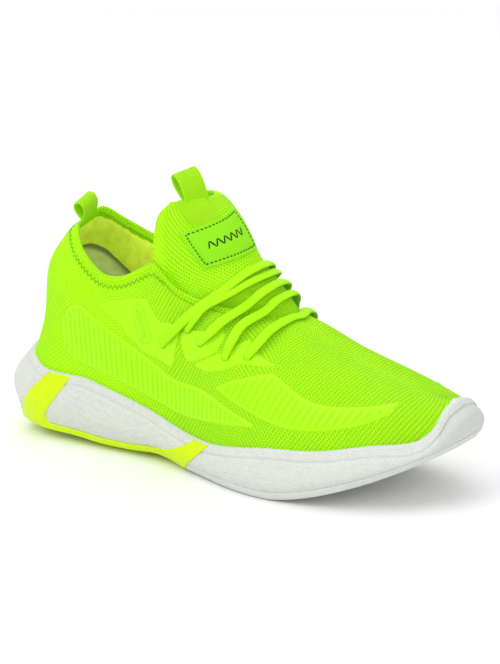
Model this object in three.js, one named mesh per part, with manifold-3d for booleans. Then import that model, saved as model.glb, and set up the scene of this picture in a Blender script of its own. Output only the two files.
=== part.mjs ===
// A right-foot running shoe, size EU 42, in millimetres. +X points to the toe, +Y to the inside of the foot
// (medial) and +Z up. Inside this file lengths run from the rearmost point of the sole: the last group moves
// the origin to the middle of the length, on the ground.
//
// Two surfaces carry everything. shoeSkin(c, v) is the outside of the knitted upper: c runs round the shoe
// from the heel (0) past the lateral side to the toe (12) and back along the medial side (24), and v climbs
// from the footbed (0) to the collar, the throat edge or the ridge of the vamp (1). tongueSkin(w, a) is the
// outside of the tongue: w climbs from under the vamp (0) to its top edge (8), and a crosses it from lateral
// (-1) to medial (1).
import * as THREE from "three";
import { mergeVertices } from "three/addons/utils/BufferGeometryUtils.js";
import Module from "manifold-3d";

const wasm = await Module();
wasm.setup();

// ---- driving dimensions ----
const REAR = -2.5; // rearmost and foremost points of the sole
const TIP = 287;
const DATUM = 1.7; // heights run from a level this far above the ground
const HALF = 12; // control columns from heel to toe
const FLEX = new THREE.Vector3(206, 0, 28); // hinge line of the ball of the foot
const KNIT = 2.0; // thickness of the knitted upper
const GAP = 0.3; // clearance between neighbouring solids
const FILM = 0.9; // thickness of the welded film overlays
const LIFT = 0.6; // clearance under pieces that lie on a curved skin
const OUTSOLE = 4.5;
const BOARD = 1.4; // strobel board
const INSOLE = 4.0;
const LACE = { wide: 5.0, thick: 3.0 };
const WEBBING = { wide: 13, thick: 1.5 };

// ---- curves ----
const v3 = (x, y, z) => new THREE.Vector3(x, y, z);
const mix = (a, b, t) => a + (b - a) * t;
const clamp = (t) => Math.min(1, Math.max(0, t));
const smooth = (t) => clamp(t) ** 2 * (3 - 2 * clamp(t));

// A smooth function through knots [x, value], level outside them.
function through(knots) {
  const slope = (i) => {
    const a = knots[Math.max(i - 1, 0)];
    const b = knots[Math.min(i + 1, knots.length - 1)];
    return (b[1] - a[1]) / (b[0] - a[0]);
  };
  return (x) => {
    if (x <= knots[0][0]) return knots[0][1];
    const i = knots.findIndex((k) => k[0] >= x) - 1;
    if (i < 0) return knots.at(-1)[1];
    const [x0, y0] = knots[i];
    const [x1, y1] = knots[i + 1];
    const h = x1 - x0;
    const t = (x - x0) / h;
    const rise = y0 + (y1 - y0) * t * t * (3 - 2 * t);
    return rise + h * t * (1 - t) * (slope(i) * (1 - t) - slope(i + 1) * t);
  };
}
const byColumn = (values) => through(values.map((value, i) => [i, value]));
const column = (c) => ((c % 24) + 24) % 24;
const halfColumn = (c) => (column(c) <= HALF ? column(c) : 24 - column(c));
const side = (c) => (column(c) <= HALF ? -1 : 1);

// ---- plan of the sole: its widest line, heel to toe down the lateral side, then back the medial side ----
const planLine = new THREE.CatmullRomCurve3(
  [
    [REAR, 0], [0.5, -18.5], [20, -31], [60, -33.5], [104, -35], [135, -42], [165, -52], [190, -56.5],
    [222, -53.5], [250, -43], [271, -27], [284, -7], [TIP, 10], [284, 25], [271, 38], [250, 46],
    [220, 49], [190, 46], [160, 39], [130, 33], [95, 31], [60, 32], [20, 28], [2.5, 15],
  ].map(([x, y]) => v3(x, y, 0)),
  true,
  "catmullrom",
);
const plan = (c) => planLine.getPoint(column(c) / 24);
function outward(c) {
  const along = plan(c + 0.05).sub(plan(c - 0.05));
  return v3(along.y, -along.x, 0).normalize();
}
const planIn = (c, inset, z) => plan(c).addScaledVector(outward(c), -inset).setZ(z);

// ---- heights along the sole ----
const underside = through([
  [REAR, 8], [8, 3.5], [25, 1.6], [50, 0.3], [72, -DATUM], [88, -DATUM], [108, 0], [138, -DATUM],
  [192, -DATUM], [215, 2.2], [240, 10], [262, 19], [280, 28], [TIP, 33],
]);
const groundZ = (x) => Math.max(-DATUM, underside(x)); // flat where it stands on the ground
// The heel's bottom edge is rounded.
const edgeRise = through([[0, 2.4], [2.4, 2.6], [3.4, 3.3], [4.2, 2.8], [4.8, 1.2], [5.6, 0.3], [6.5, 0]]);
const footbedZ = through([
  [0, 28], [40, 27], [90, 22], [139, 14], [190, 12], [215, 14.5], [240, 20], [265, 28], [TIP, 34],
]);
const lipZ = through([
  [0, 48.5], [1, 47.2], [1.5, 45], [1.9, 42], [2.25, 38.6], [2.7, 38], [3, 37.6], [4, 26.8], [4.5, 22],
  [5, 19.3], [5.5, 18.8], [6, 20.8], [7, 25], [8, 27.6], [9, 32.2], [10, 34.2], [10.4, 39], [10.8, 47.3],
  [11.3, 50], [12, 51],
]);
const lipWall = byColumn([2.2, 2.2, 2.2, 2.2, 2.2, 2.2, 2.2, 2.2, 2.2, 2.4, 3, 3.8, 3.8]);
const waist = through([[0, 0.5], [3, 0.42], [5, 0.38]]); // share of the side wall's height where it is widest

// ---- outside of the upper ----
// The collar rim, the throat edge and the ridge of the vamp: column, station, half width, height.
const rim = [
  [0, 38.5, 0, 122.8], [1, 42.3, 12.5, 121], [2, 53.5, 24, 111], [3, 71.8, 30, 100], [3.5, 85.3, 31, 100.4],
  [4, 99.5, 31, 107.3], [4.35, 106.5, 30.5, 110], [5, 123, 31, 98.5], [6, 151, 24, 90.5], [7, 180, 0, 85],
  [8, 202, 0, 73.2], [9, 224, 0, 63.6], [10, 245, 0, 55.8], [11, 260, 0, 52.5], [12, 267, 0, 51.5],
];
const rimX = through(rim.map((p) => [p[0], p[1]]));
const rimHalfWidth = through(rim.map((p) => [p[0], p[2]]));
const rimZ = through(rim.map((p) => [p[0], p[3]]));
const medialLift = through([[0, 0], [1, 6], [2, 6.5], [3, 8.5], [3.5, 7.5], [4, 2.5], [4.5, 0]]);
const ridgeY = (x) => 8 * smooth((x - 150) / 100);
function rimPoint(c) {
  const h = halfColumn(c);
  const lift = side(c) > 0 ? medialLift(h) : 0;
  return v3(rimX(h), side(c) * Math.max(0, rimHalfWidth(h)) + ridgeY(rimX(h)), rimZ(h) + lift);
}
const baseInset = byColumn([8, 7, 5.5, 5, 5, 5, 5.5, 6, 6.5, 7, 7, 6.8, 6.5]);
const straight = byColumn([0.9, 0.9, 0.85, 0.8, 0.7, 0.45, 0.2, 0, 0, 0, 0, 0, 0]);
const fullness = byColumn([1, 1, 1, 1, 1, 1, 1, 1, 1.05, 1.15, 1.3, 1.5, 1.6]);
const bulge = byColumn([2.3, 2.8, 3.5, 3, 2.5, 2, 1, 0, 0, 0, 0, 0, 0]);
const kick = byColumn([5, 4.4, 2.6, 1.2, 0.5, 0, 0, 0, 0, 0, 0, 0, 0]); // the heel wall waves in and out

const shoulder = byColumn([1, 1, 0.7, 0, 0, 0, 0, 0, 0, 0, 0, 0, 0]);

function skinPoint(c, v) {
  const h = halfColumn(c);
  const base = planIn(c, baseInset(h), 0);
  base.z = footbedZ(base.x) + BOARD + GAP;
  const top = rimPoint(c);
  const angle = (v * Math.PI) / 2;
  const inward = mix((1 - Math.cos(angle)) ** fullness(h), v, straight(h));
  const up = mix(Math.sin(angle), v, straight(h));
  const p = v3(mix(base.x, top.x, inward), mix(base.y, top.y, inward), mix(base.z, top.z, up));
  const wave = (count) => Math.sin(count * Math.PI * v);
  return p.addScaledVector(outward(c), bulge(h) * wave(1) - kick(h) * wave(2) + shoulder(h) * wave(3));
}
function skinNormal(c, v) {
  const e = 0.02;
  const along = skinPoint(c + e, v).sub(skinPoint(c - e, v));
  const up = skinPoint(c, Math.min(1, v + e)).sub(skinPoint(c, Math.max(0, v - e)));
  return along.cross(up).normalize();
}
const onRidge = (c) => halfColumn(c) >= 7;
// The point at depth d outside (+) or inside (-) the skin. Both sides of the ridge share one normal.
function shoeSkin(c, v, d = 0) {
  const n = skinNormal(c, v);
  if (v > 0.999 && onRidge(c)) n.add(skinNormal(24 - c, v)).normalize();
  const p = skinPoint(c, v);
  const { z } = p;
  p.addScaledVector(n, d);
  return v < 0.001 ? p.setZ(z) : p; // the bottom edge stays level
}
// The v at which column c passes height z.
function heightToV(c, z) {
  let low = 0;
  let high = 1;
  for (let i = 0; i < 24; i++) {
    const middle = (low + high) / 2;
    if (skinPoint(c, middle).z < z) low = middle;
    else high = middle;
  }
  return (low + high) / 2;
}

// ---- outside of the tongue: a centre line and a side edge, joined by quarter ellipses ----
const line = (points) => new THREE.CatmullRomCurve3(points.map((p) => v3(...p)), false, "catmullrom");
const tongueCentre = line([
  [198, 3, 69], [183, 2, 79.5], [169, 0, 97.5], [159.5, 0, 105.8], [152.5, 0, 114.6], [146.9, 0, 124],
  [140.3, 0, 133], [132.9, 0, 140.4], [125.8, 0, 146],
]);
const tongueEdge = line([
  [191, 8, 66], [173, 14, 75], [150, 20, 84], [126, 27, 90], [108, 27, 102], [105.5, 28, 116],
  [105.5, 27, 128], [106.5, 24, 138], [110, 18.5, 144],
]);
function tonguePoint(w, a) {
  const centre = tongueCentre.getPoint(w / 8);
  const edge = tongueEdge.getPoint(w / 8);
  const angle = (Math.abs(a) * Math.PI) / 2;
  const back = 1 - Math.cos(angle);
  const across = centre.y + Math.sign(a) * edge.y * Math.sin(angle);
  return v3(mix(centre.x, edge.x, back), across, mix(centre.z, edge.z, back));
}
function tongueSkin(w, a, d = 0) {
  const e = 0.02;
  const up = tonguePoint(Math.min(8, w + e), a).sub(tonguePoint(Math.max(0, w - e), a));
  const across = tonguePoint(w, a + e).sub(tonguePoint(w, a - e));
  return tonguePoint(w, a).addScaledVector(across.cross(up).normalize(), d);
}

// ---- turning points into solids ----
function meshOf(points, faces) {
  const g = new THREE.BufferGeometry();
  g.setAttribute("position", new THREE.Float32BufferAttribute(points.flatMap((p) => [p.x, p.y, p.z]), 3));
  g.setIndex(faces);
  return g;
}
// A sheet between depths inner and outer, over at(p, q, depth) with p and q from 0 to 1.
function sheet(at, columns, rows, inner, outer, wraps = false) {
  const points = [];
  const faces = [];
  const id = (k, i, j) => k * (columns + 1) * (rows + 1) + i * (rows + 1) + j;
  for (const depth of [inner, outer]) {
    for (let i = 0; i <= columns; i++) {
      for (let j = 0; j <= rows; j++) points.push(at(i / columns, j / rows, depth));
    }
  }
  const quad = (a, b, c, d) => faces.push(a, b, c, a, c, d);
  for (let i = 0; i < columns; i++) {
    for (let j = 0; j < rows; j++) {
      quad(id(1, i, j), id(1, i + 1, j), id(1, i + 1, j + 1), id(1, i, j + 1));
      quad(id(0, i, j), id(0, i, j + 1), id(0, i + 1, j + 1), id(0, i + 1, j));
    }
    quad(id(0, i, 0), id(0, i + 1, 0), id(1, i + 1, 0), id(1, i, 0));
    const closed = points[id(1, i, rows)].ridge && points[id(1, i + 1, rows)].ridge;
    if (!closed) quad(id(1, i, rows), id(1, i + 1, rows), id(0, i + 1, rows), id(0, i, rows));
  }
  for (let j = 0; j < rows && !wraps; j++) {
    quad(id(0, 0, j), id(1, 0, j), id(1, 0, j + 1), id(0, 0, j + 1));
    quad(id(0, columns, j), id(0, columns, j + 1), id(1, columns, j + 1), id(1, columns, j));
  }
  return meshOf(points, faces);
}
// A solid with rings of points, bottom to top, closed below and above by strips from side to side.
function ringSolid(rings) {
  const n = rings[0].length;
  const faces = [];
  const quad = (a, b, c, d) => faces.push(a, b, c, a, c, d);
  rings.slice(1).forEach((_, k) => {
    for (let i = 0; i < n; i++) {
      const next = (i + 1) % n;
      quad(k * n + i, k * n + next, (k + 1) * n + next, (k + 1) * n + i);
    }
  });
  const top = (rings.length - 1) * n;
  for (let i = 0; i < n / 2; i++) {
    const [a, b, c, d] = [i, i + 1, (n - i - 1) % n, (n - i) % n];
    quad(d, c, b, a);
    quad(top + a, top + b, top + c, top + d);
  }
  return meshOf(rings.flat(), faces);
}
function solid(geometry) {
  const g = geometry.index ? geometry.toNonIndexed() : geometry.clone();
  g.deleteAttribute("normal");
  g.deleteAttribute("uv");
  const merged = mergeVertices(g, 1e-3);
  const index = merged.index.array;
  const kept = [];
  for (let i = 0; i < index.length; i += 3) {
    const [a, b, c] = index.slice(i, i + 3);
    if (a !== b && b !== c && a !== c) kept.push(a, b, c);
  }
  const vertProperties = merged.attributes.position.array;
  const triVerts = new Uint32Array(kept);
  const made = new wasm.Manifold(new wasm.Mesh({ numProp: 3, vertProperties, triVerts }));
  if (made.volume() < 0) throw new Error("a solid is inside out");
  return made;
}
const largest = (s) => s.decompose().sort((a, b) => b.volume() - a.volume())[0];
function box(x0, x1, y0, y1, z0, z1) {
  const g = new THREE.BoxGeometry(x1 - x0, y1 - y0, z1 - z0);
  return solid(g.translate((x0 + x1) / 2, (y0 + y1) / 2, (z0 + z1) / 2));
}
const slab = (x0, x1) => box(x0, x1, -100, 100, -20, 220);
const rearOf = (s) => largest(s.intersect(slab(-50, FLEX.x - GAP)));
const frontOf = (s) => largest(s.intersect(slab(FLEX.x + GAP, 400)));

const COLUMNS = 60;
const ROWS = 8;
const ring = (f) => Array.from({ length: COLUMNS }, (_, i) => f((i * 24) / COLUMNS));

// ---- sole ----
const bottomInset = byColumn([6, 5, 4, 4, 4, 3.5, 3, 3, 3, 3.5, 4, 5, 6]);
const groundRing = (inset, lift) =>
  ring((c) => {
    const p = planIn(c, bottomInset(halfColumn(c)) + inset, 0);
    return p.setZ(groundZ(p.x) + lift(halfColumn(c)));
  });
const level = (height) => () => height;
const EDGE_ROUND = 6; // how far in from its edge the underside is flat
const widestPoint = (c, extra) => {
  const h = halfColumn(c);
  return planIn(c, -extra, mix(groundZ(plan(c).x) + edgeRise(h), lipZ(h), waist(h)));
};
const lipPoint = (c, extra) => {
  const h = halfColumn(c);
  const v = heightToV(c, lipZ(h));
  return skinPoint(c, v).addScaledVector(outward(c), lipWall(h) + extra).setZ(lipZ(h));
};
// The outline of the sole, grown outwards by extra and filled.
const soleRings = (extra) => [
  groundRing(EDGE_ROUND - extra, level(0)),
  groundRing(-extra, edgeRise),
  ring((c) => widestPoint(c, extra)),
  ring((c) => lipPoint(c, extra)),
];

// The shoe's filled inside, grown by extra: what a foot, a last and the upper's own skin take up.
function filledSkin(extra, floor) {
  return solid(
    ringSolid([
      ring((c) => shoeSkin(c, 0, extra).setZ(footbedZ(shoeSkin(c, 0, 0).x) + floor)),
      ring((c) => shoeSkin(c, 0, extra)),
      ...Array.from({ length: ROWS }, (_, i) => ring((c) => shoeSkin(c, (i + 1) / ROWS, extra))),
    ]),
  );
}
const lastSolid = filledSkin(GAP, 0);
const unitSole = solid(ringSolid(soleRings(0))).subtract(lastSolid);
// The same, carried up past the lip by rise.
const soleHull = (extra, rise) =>
  solid(ringSolid([...soleRings(extra), ring((c) => lipPoint(c, extra).add(v3(0, 0, rise)))]));
const ROOM = 30; // reach of the cutting layer past the sole
const outsoleLayer = (lift) => {
  const top = (h) => OUTSOLE + 0.7 * edgeRise(h) + lift;
  return solid(ringSolid([groundRing(-ROOM, level(-ROOM)), groundRing(-ROOM, top)]));
};
const outsole = unitSole.intersect(outsoleLayer(0));

// The cradle: a layer under the heel with two legs up the outside of each side wall. Each leg is drawn in
// side view by its rear and its front edge, bottom to top.
const CRADLE_END = 130;
const LEG_THICK = 1.6;
const CRADLE_LEGS = [
  { rear: [[-6, -10], [16, 17], [29, 30], [35, 44]], front: [[31, -10], [31, 15], [52, 44]] },
  {
    rear: [[104, -10], [106, 6.5], [118, 9], [126, 12], [133, 16.3], [162, 44]],
    front: [[121, -10], [176, 44]],
  },
];
function legs(grow) {
  const blocks = CRADLE_LEGS.map(({ rear, front }) => {
    const edges = [
      ...front.map(([x, z]) => new THREE.Vector2(x + grow, z)),
      ...rear.map(([x, z]) => new THREE.Vector2(x - grow, z)).reverse(),
    ];
    const g = new THREE.ExtrudeGeometry(new THREE.Shape(edges), { depth: 200, bevelEnabled: false });
    return solid(g.rotateX(Math.PI / 2).translate(0, 100, 0));
  });
  return blocks[0].add(blocks[1]);
}
const HEEL_TREAD = { x0: 30, x1: 104, y0: -20, y1: 17, z0: -DATUM - 1, z1: 0.9 };
const treadPlug = (grow) => {
  const { x0, x1, y0, y1, z0, z1 } = HEEL_TREAD;
  return box(x0 - grow, x1 + grow, y0 - grow, y1 + grow, z0, z1 + grow);
};
const besideFoam = soleHull(GAP, ROOM).subtract(outsoleLayer(0));
const legWalls = soleHull(LEG_THICK, GAP).subtract(besideFoam).intersect(legs(0));
const heelCradle = largest(outsole.intersect(slab(-50, CRADLE_END)).add(legWalls).subtract(treadPlug(GAP)));
const heelTread = largest(unitSole.intersect(treadPlug(0)));
const forefootOutsole = outsole.subtract(legs(GAP)).intersect(slab(CRADLE_END + GAP, 400));
const outsoleRear = rearOf(forefootOutsole);
const outsoleFront = frontOf(forefootOutsole);

const foam = unitSole.subtract(outsoleLayer(GAP));
const midsoleRear = rearOf(foam);
const midsoleFront = frontOf(foam);

// ---- knitted upper ----
// The whole skin, all the way round, between two depths.
const valueAt = (value, c, v) => (typeof value === "function" ? value(c, v) : value);
const wrap = (inner, outer, rows = ROWS) =>
  solid(
    sheet((p, q, d) => {
      const c = p * 24;
      return Object.assign(shoeSkin(c, q, valueAt(d, c, q)), { ridge: q > 0.999 && onRidge(c) });
    }, COLUMNS, rows, inner, outer, true),
  );
const wholeUpper = wrap(-KNIT, 0);
// In front of the ball the wall steps in, so that it slides inside the rear of the vamp as the toe bends up.
const STEP = KNIT + 1.3;
const stepIn = (c, v) => STEP * (1 - smooth((skinPoint(c, v).x - FLEX.x - 18) / 16));
const steppedUpper = wrap((c, v) => -KNIT - stepIn(c, v), (c, v) => -stepIn(c, v));
const upperFront = frontOf(steppedUpper);

// ---- layers of the skin between columns c0 and c1 ----
const layer = (c0, c1, v0, v1, inner, outer, columns, rows) =>
  solid(
    sheet((p, q, d) => {
      const c = mix(c0, c1, p);
      const v = mix(valueAt(v0, c), valueAt(v1, c), q);
      return shoeSkin(c, v, valueAt(d, c, v));
    }, columns, rows, inner, outer),
  );
const COUNTER = 1.0;
const LINED = 3.85; // the lining runs this many columns forward of the heel
const liningOuter = -KNIT - COUNTER - 2 * GAP - LIFT;
const LINING_TOP = 0.92;
// The v of the seam between the grey lining and the padded one: an arch, highest at the heel.
const seam = (c) => 0.74 - 0.3 * smooth((Math.abs(c) - 1.4) / 2.6);
const padding = (c, v) => {
  const t = clamp((v - seam(c)) / (LINING_TOP - seam(c)));
  return liningOuter - 1.6 - 2.8 * Math.sin(Math.PI * t);
};
const heelCounter = layer(-3.2, 3.2, 0.03, 0.46, -KNIT - GAP - COUNTER, -KNIT - GAP, 16, 4);
const heelLining = layer(-LINED, LINED, 0.12, (c) => seam(c) - 0.005, liningOuter - 1.5, liningOuter, 24, 4);
const collarLining = layer(-LINED, LINED, (c) => seam(c) + 0.005, LINING_TOP, padding, liningOuter, 24, 6);
const collarBinding = layer(-LINED, LINED, 0.93, 0.995, -KNIT - LIFT - 2, -KNIT - LIFT, 24, 2);
const toePuff = layer(10.4, 13.6, 0.03, 0.72, -KNIT - GAP - 1, -KNIT - GAP, 10, 5);
const heelBackstay = layer(-0.32, 0.32, 0.28, 0.93, LIFT, LIFT + 0.8, 3, 8);

// ---- film overlays, drawn in side view: stations and heights on the skin ----
// The column and v of the skin at station x and height z.
function skinAt(x, z) {
  let low = 1;
  let high = 11.5;
  for (let i = 0; i < 18; i++) {
    const middle = (low + high) / 2;
    if (skinPoint(middle, heightToV(middle, z)).x < x) low = middle;
    else high = middle;
  }
  return [(low + high) / 2, heightToV((low + high) / 2, z)];
}
// A patch between a lower and an upper edge on the lateral (-1) or medial (+1) side.
function patch(sign, lower, upper, columns, rows, sink = () => 0) {
  const bottom = through(lower);
  const top = through(upper);
  const [first, last] = [lower[0][0], lower.at(-1)[0]];
  const spots = [];
  for (let i = 0; i <= columns; i++) {
    const x = mix(first, last, sign < 0 ? i / columns : 1 - i / columns);
    for (let j = 0; j <= rows; j++) spots.push(skinAt(x, mix(bottom(x), top(x), j / rows)));
  }
  const at = (p, q, d) => {
    const [c, v] = spots[Math.round(p * columns) * (rows + 1) + Math.round(q * rows)];
    return shoeSkin(sign < 0 ? c : 24 - c, v, d - sink(c, v));
  };
  return solid(sheet(at, columns, rows, LIFT, LIFT + FILM));
}
const QUARTER_RIBS = {
  lower: [[44, 55], [50, 49], [62, 45.5], [84, 40], [108, 33.5], [130, 29.5], [156, 31.5], [181, 35]],
  upper: [
    [44, 70], [50, 79], [57, 81.5], [71, 74.5], [96, 61.5], [120, 50], [143, 48], [169, 40], [181, 36.5],
  ],
};
const FOREFOOT_RIBS = {
  lower: [[155, 50.5], [169, 45], [193, 38.5], [210, 37.3], [228, 39.5], [243, 43.5], [253, 48.5]],
  upper: [[155, 52], [165, 57], [186, 62.6], [195, 59.3], [207, 53.5], [220, 50.5], [240, 51], [253, 52.5]],
};
const REAR_WING = {
  lower: [[72, 82.5], [83, 76.5], [100, 61.5], [114, 57.8], [122, 57.4], [126, 74]],
  upper: [[72, 84], [83, 88], [103, 91], [108, 84.4], [113, 80], [119, 80.5], [126, 80]],
};
const MIDDLE_STAY = {
  lower: [[127.5, 74], [132, 62.5], [145, 65.8], [152, 70], [156, 76]],
  upper: [[127.5, 77], [131, 79.3], [143, 79.8], [153, 82.5], [156, 79]],
};
const FRONT_STAY = {
  lower: [[139, 60.2], [146, 58.6], [158, 61.4], [168, 65.5], [178, 65.5], [186, 65.8]],
  upper: [[139, 61.6], [151, 68], [159, 72], [165, 76.7], [170, 77], [175, 72], [182, 68.4], [186, 67]],
};
const TOE_SLIDE = 22; // the front of the forefoot ribs starts this far in front of the hinge line
const clip = (knots, x0, x1) => {
  const f = through(knots);
  return [[x0, f(x0)], ...knots.filter(([x]) => x > x0 + 1 && x < x1 - 1), [x1, f(x1)]];
};
const forefootRibs = (sign, x0, x1, sink) =>
  patch(sign, clip(FOREFOOT_RIBS.lower, x0, x1), clip(FOREFOOT_RIBS.upper, x0, x1), 8, 3, sink);

// ---- tongue ----
const TONGUE = 3.0;
const TONGUE_BREAK = 4; // w of the hinge across the tongue
const tongueSheet = (w0, w1, rows, grow = 0) =>
  solid(
    sheet((p, q, d) => tongueSkin(mix(w0, w1, q), mix(-1, 1, p), d), 18, rows, -TONGUE - grow, grow),
  );
const aroundUpper = wrap(-KNIT - 1, 1.4); // the upper with room to slide past it
const upperClearance = aroundUpper.add(aroundUpper.translate([0, 0, LIFT]));
const tongueTop = largest(tongueSheet(TONGUE_BREAK + 0.05, 8, 10).subtract(upperClearance));
const tongueBase = largest(tongueSheet(0.9, TONGUE_BREAK - 0.05, 8).subtract(upperClearance));
// A four-sided patch on the front of the tongue; its corners [w, a] run lateral to medial, low pair first.
const onTongue = ([lowLeft, lowRight], [highLeft, highRight], thick, columns, rows) =>
  solid(
    sheet((p, q, d) => {
      const across = (left, right) => left.map((value, i) => mix(value, right[i], p));
      const low = across(lowLeft, lowRight);
      const high = across(highLeft, highRight);
      const [w, a] = low.map((value, i) => mix(value, high[i], q));
      return tongueSkin(w, a, d);
    }, columns, rows, LIFT, LIFT + thick),
  );
const LABEL = 1.0;
const tongueLabel = onTongue([[4.1, -0.58], [4.38, 0.12]], [[5.9, -0.72], [6.75, 0.14]], LABEL, 10, 4);
const STRAP_CORNERS = [[[6.5, -0.57], [6.8, -0.24]], [[7.95, -0.78], [7.95, -0.26]]];
const tongueStrap = onTongue(...STRAP_CORNERS, WEBBING.thick, 5, 4);

// ---- webbing loops: a closed teardrop of webbing that stands on its tip ----
function webbingLoop(tip, up, across, height, halfDepth) {
  const out = across.clone().cross(up).normalize();
  const outline = [[0, 0], [-0.8, 0.35], [-1, 0.7], [-0.45, 0.97], [0.45, 0.97], [1, 0.7], [0.8, 0.35]];
  const path = new THREE.CatmullRomCurve3(
    outline.map(([x, z]) => v3(x * halfDepth, 0, z * height)),
    true,
  );
  const at = (p, q, d) => {
    const spot = path.getPoint(p % 1);
    const along = path.getTangent(p % 1);
    const [x, z] = [spot.x - along.z * d, spot.z + along.x * d];
    const spotAcross = across.clone().multiplyScalar((q - 0.5) * WEBBING.wide);
    return tip.clone().addScaledVector(out, x).addScaledVector(up, z).add(spotAcross);
  };
  return solid(sheet(at, 18, 1, 0, WEBBING.thick, true));
}
const unit = (x, y, z) => v3(x, y, z).normalize();
const TAB_HALF_DEPTH = 3.2;
const TONGUE_TAB = [v3(120.6, -11, 148.6), unit(-0.55, 0.05, 0.83), unit(0.42, 0.89, 0.22)];
const HEEL_TAB = [v3(41, 1, 125.9), unit(-0.1, -0.25, 0.96), unit(0, 0.96, 0.25)];
const tongueTab = webbingLoop(...TONGUE_TAB, 13, TAB_HALF_DEPTH);
const heelTab = webbingLoop(...HEEL_TAB, 10, TAB_HALF_DEPTH);

// ---- lace: five rows, each from an eyelet over the skin (stations, heights) and over the tongue (w, a) ----
const LACE_ROWS = [
  { skin: [[115, 68], [127, 80], [135, 88]], tongue: [[2.95, 0.65], [3.3, 0.3], [3.45, 0]] },
  { skin: [[132.5, 79.3], [137, 86], [140.5, 91]], tongue: [[2.8, 0.58], [2.88, 0.3], [2.9, 0]] },
  { skin: [[141.5, 73.5], [148.7, 80], [153, 85]], tongue: [[2.1, 0.64], [2.2, 0.35], [2.25, 0]] },
  { skin: [[159, 68.6], [161, 76.5], [162.8, 83]], tongue: [[1.72, 0.55], [1.8, 0.3], [1.82, 0]] },
  { skin: [[171, 69.8], [174.5, 76], [177, 81]], tongue: [[1.3, 0.3], [1.25, 0]] },
];
const EYELET = 1.9; // radius of the lace where it passes through an eyelet
const core = new THREE.Line3(v3(100, 0, 70), v3(220, 4, 35)); // the lace stands out from this line
const eyelets = LACE_ROWS.map(({ skin }) => skinAt(...skin[0]));
const eyeletAt = (row, sign) => onSide(eyelets[row], sign);
const onSide = ([c, v], sign) => [sign < 0 ? c : 24 - c, v];
// A flat cord along a curve; out says which way its flat side faces.
const cord = (centre, out, columns) =>
  solid(
    sheet((p, q, d) => {
      const n = out(p);
      const across = n.clone().cross(centre(p + 0.005).sub(centre(p - 0.005))).normalize();
      return centre(p).addScaledVector(n, d).addScaledVector(across, (q - 0.5) * LACE.wide);
    }, columns, 1, -LACE.thick / 2, LACE.thick / 2),
  );
function laceRow({ skin, tongue }) {
  const lift = 2.5 * LIFT + FILM + LACE.thick / 2;
  const half = (sign) => [
    ...skin.map(([x, z]) => shoeSkin(...onSide(skinAt(x, z), sign), lift)),
    ...tongue.map(([w, a]) => tongueSkin(w, sign * a, lift + 2 * a)),
  ];
  const path = new THREE.CatmullRomCurve3([...half(-1), ...half(1).reverse().slice(1)]);
  const centre = (p) => path.getPoint(clamp(p));
  const out = (p) => centre(p).sub(core.closestPointToPoint(centre(p), false, v3(0, 0, 0))).normalize();
  return cord(centre, out, 16);
}
function laceLink(row, sign) {
  const [a, b] = [eyeletAt(row, sign), eyeletAt(row + 1, sign)];
  const spot = (p) => [mix(a[0], b[0], clamp(p)), mix(a[1], b[1], clamp(p))];
  const centre = (p) => shoeSkin(...spot(p), -KNIT - 2 * LIFT - LACE.thick / 2);
  return cord(centre, (p) => skinNormal(...spot(p)), 3);
}
function eyeletPlug(row, sign, radius, reach) {
  const spot = eyeletAt(row, sign);
  const g = new THREE.CylinderGeometry(radius, radius, 2 * reach, 10);
  g.applyQuaternion(new THREE.Quaternion().setFromUnitVectors(v3(0, 1, 0), skinNormal(...spot)));
  const at = shoeSkin(...spot, -KNIT / 2);
  return solid(g.translate(at.x, at.y, at.z));
}
const everyEyelet = (radius, reach) =>
  LACE_ROWS.flatMap((_, row) => [-1, 1].map((sign) => eyeletPlug(row, sign, radius, reach)))
    .reduce((a, b) => a.add(b));
const laceHoles = everyEyelet(EYELET + GAP, 9);
let lace = LACE_ROWS.map(laceRow).reduce((a, b) => a.add(b));
for (let row = 0; row < LACE_ROWS.length - 1; row++) lace = lace.add(laceLink(row, row % 2 === 0 ? 1 : -1));
lace = largest(lace.add(everyEyelet(EYELET, KNIT / 2 + 2 * LIFT + LACE.thick)));
const overlays = (outline, sign, columns, rows) =>
  largest(patch(sign, outline.lower, outline.upper, columns, rows).subtract(laceHoles));

// ---- footbed ----
const footRing = (inset, lift) =>
  ring((c) => {
    const p = shoeSkin(c, 0, -inset(halfColumn(c)));
    return p.setZ(footbedZ(p.x) + lift);
  });
const strobel = solid(ringSolid([footRing(() => 0.4, GAP), footRing(() => 0.4, BOARD)]));
// The insole keeps clear of the lining at the heel and of the stepped toe of the upper at the front.
function insoleInset(h) {
  const besideLining = 7.5;
  const behindHeel = 9.5;
  const atToe = 3.5;
  const beside = mix(KNIT + LIFT, besideLining, smooth((5.5 - h) / 1.5));
  return beside + behindHeel * smooth(1.5 - h) + atToe * smooth(h - 6.4);
}
const insoleRing = (height) => footRing(insoleInset, BOARD + GAP + height);
const insole = solid(ringSolid([insoleRing(0), insoleRing(INSOLE)]));

// ---- colours and assembly ----
const TRIM = 0.06; // edges that bend the surface less than this are merged
const finish = (color, roughness) => ({ color, roughness, metalness: 0 });
const KNIT_LIME = finish(0x8fe31b, 0.85);
const FILM_LIME = finish(0xa6f423, 0.45);
const LACE_LIME = finish(0x96ee1e, 0.7);
const FOAM = finish(0xe4e5e0, 0.6);
const CRADLE = finish(0xd2f508, 0.4);
const OLIVE = finish(0x9db52f, 0.85);
const GREY = finish(0xa3ad86, 0.9);

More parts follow.
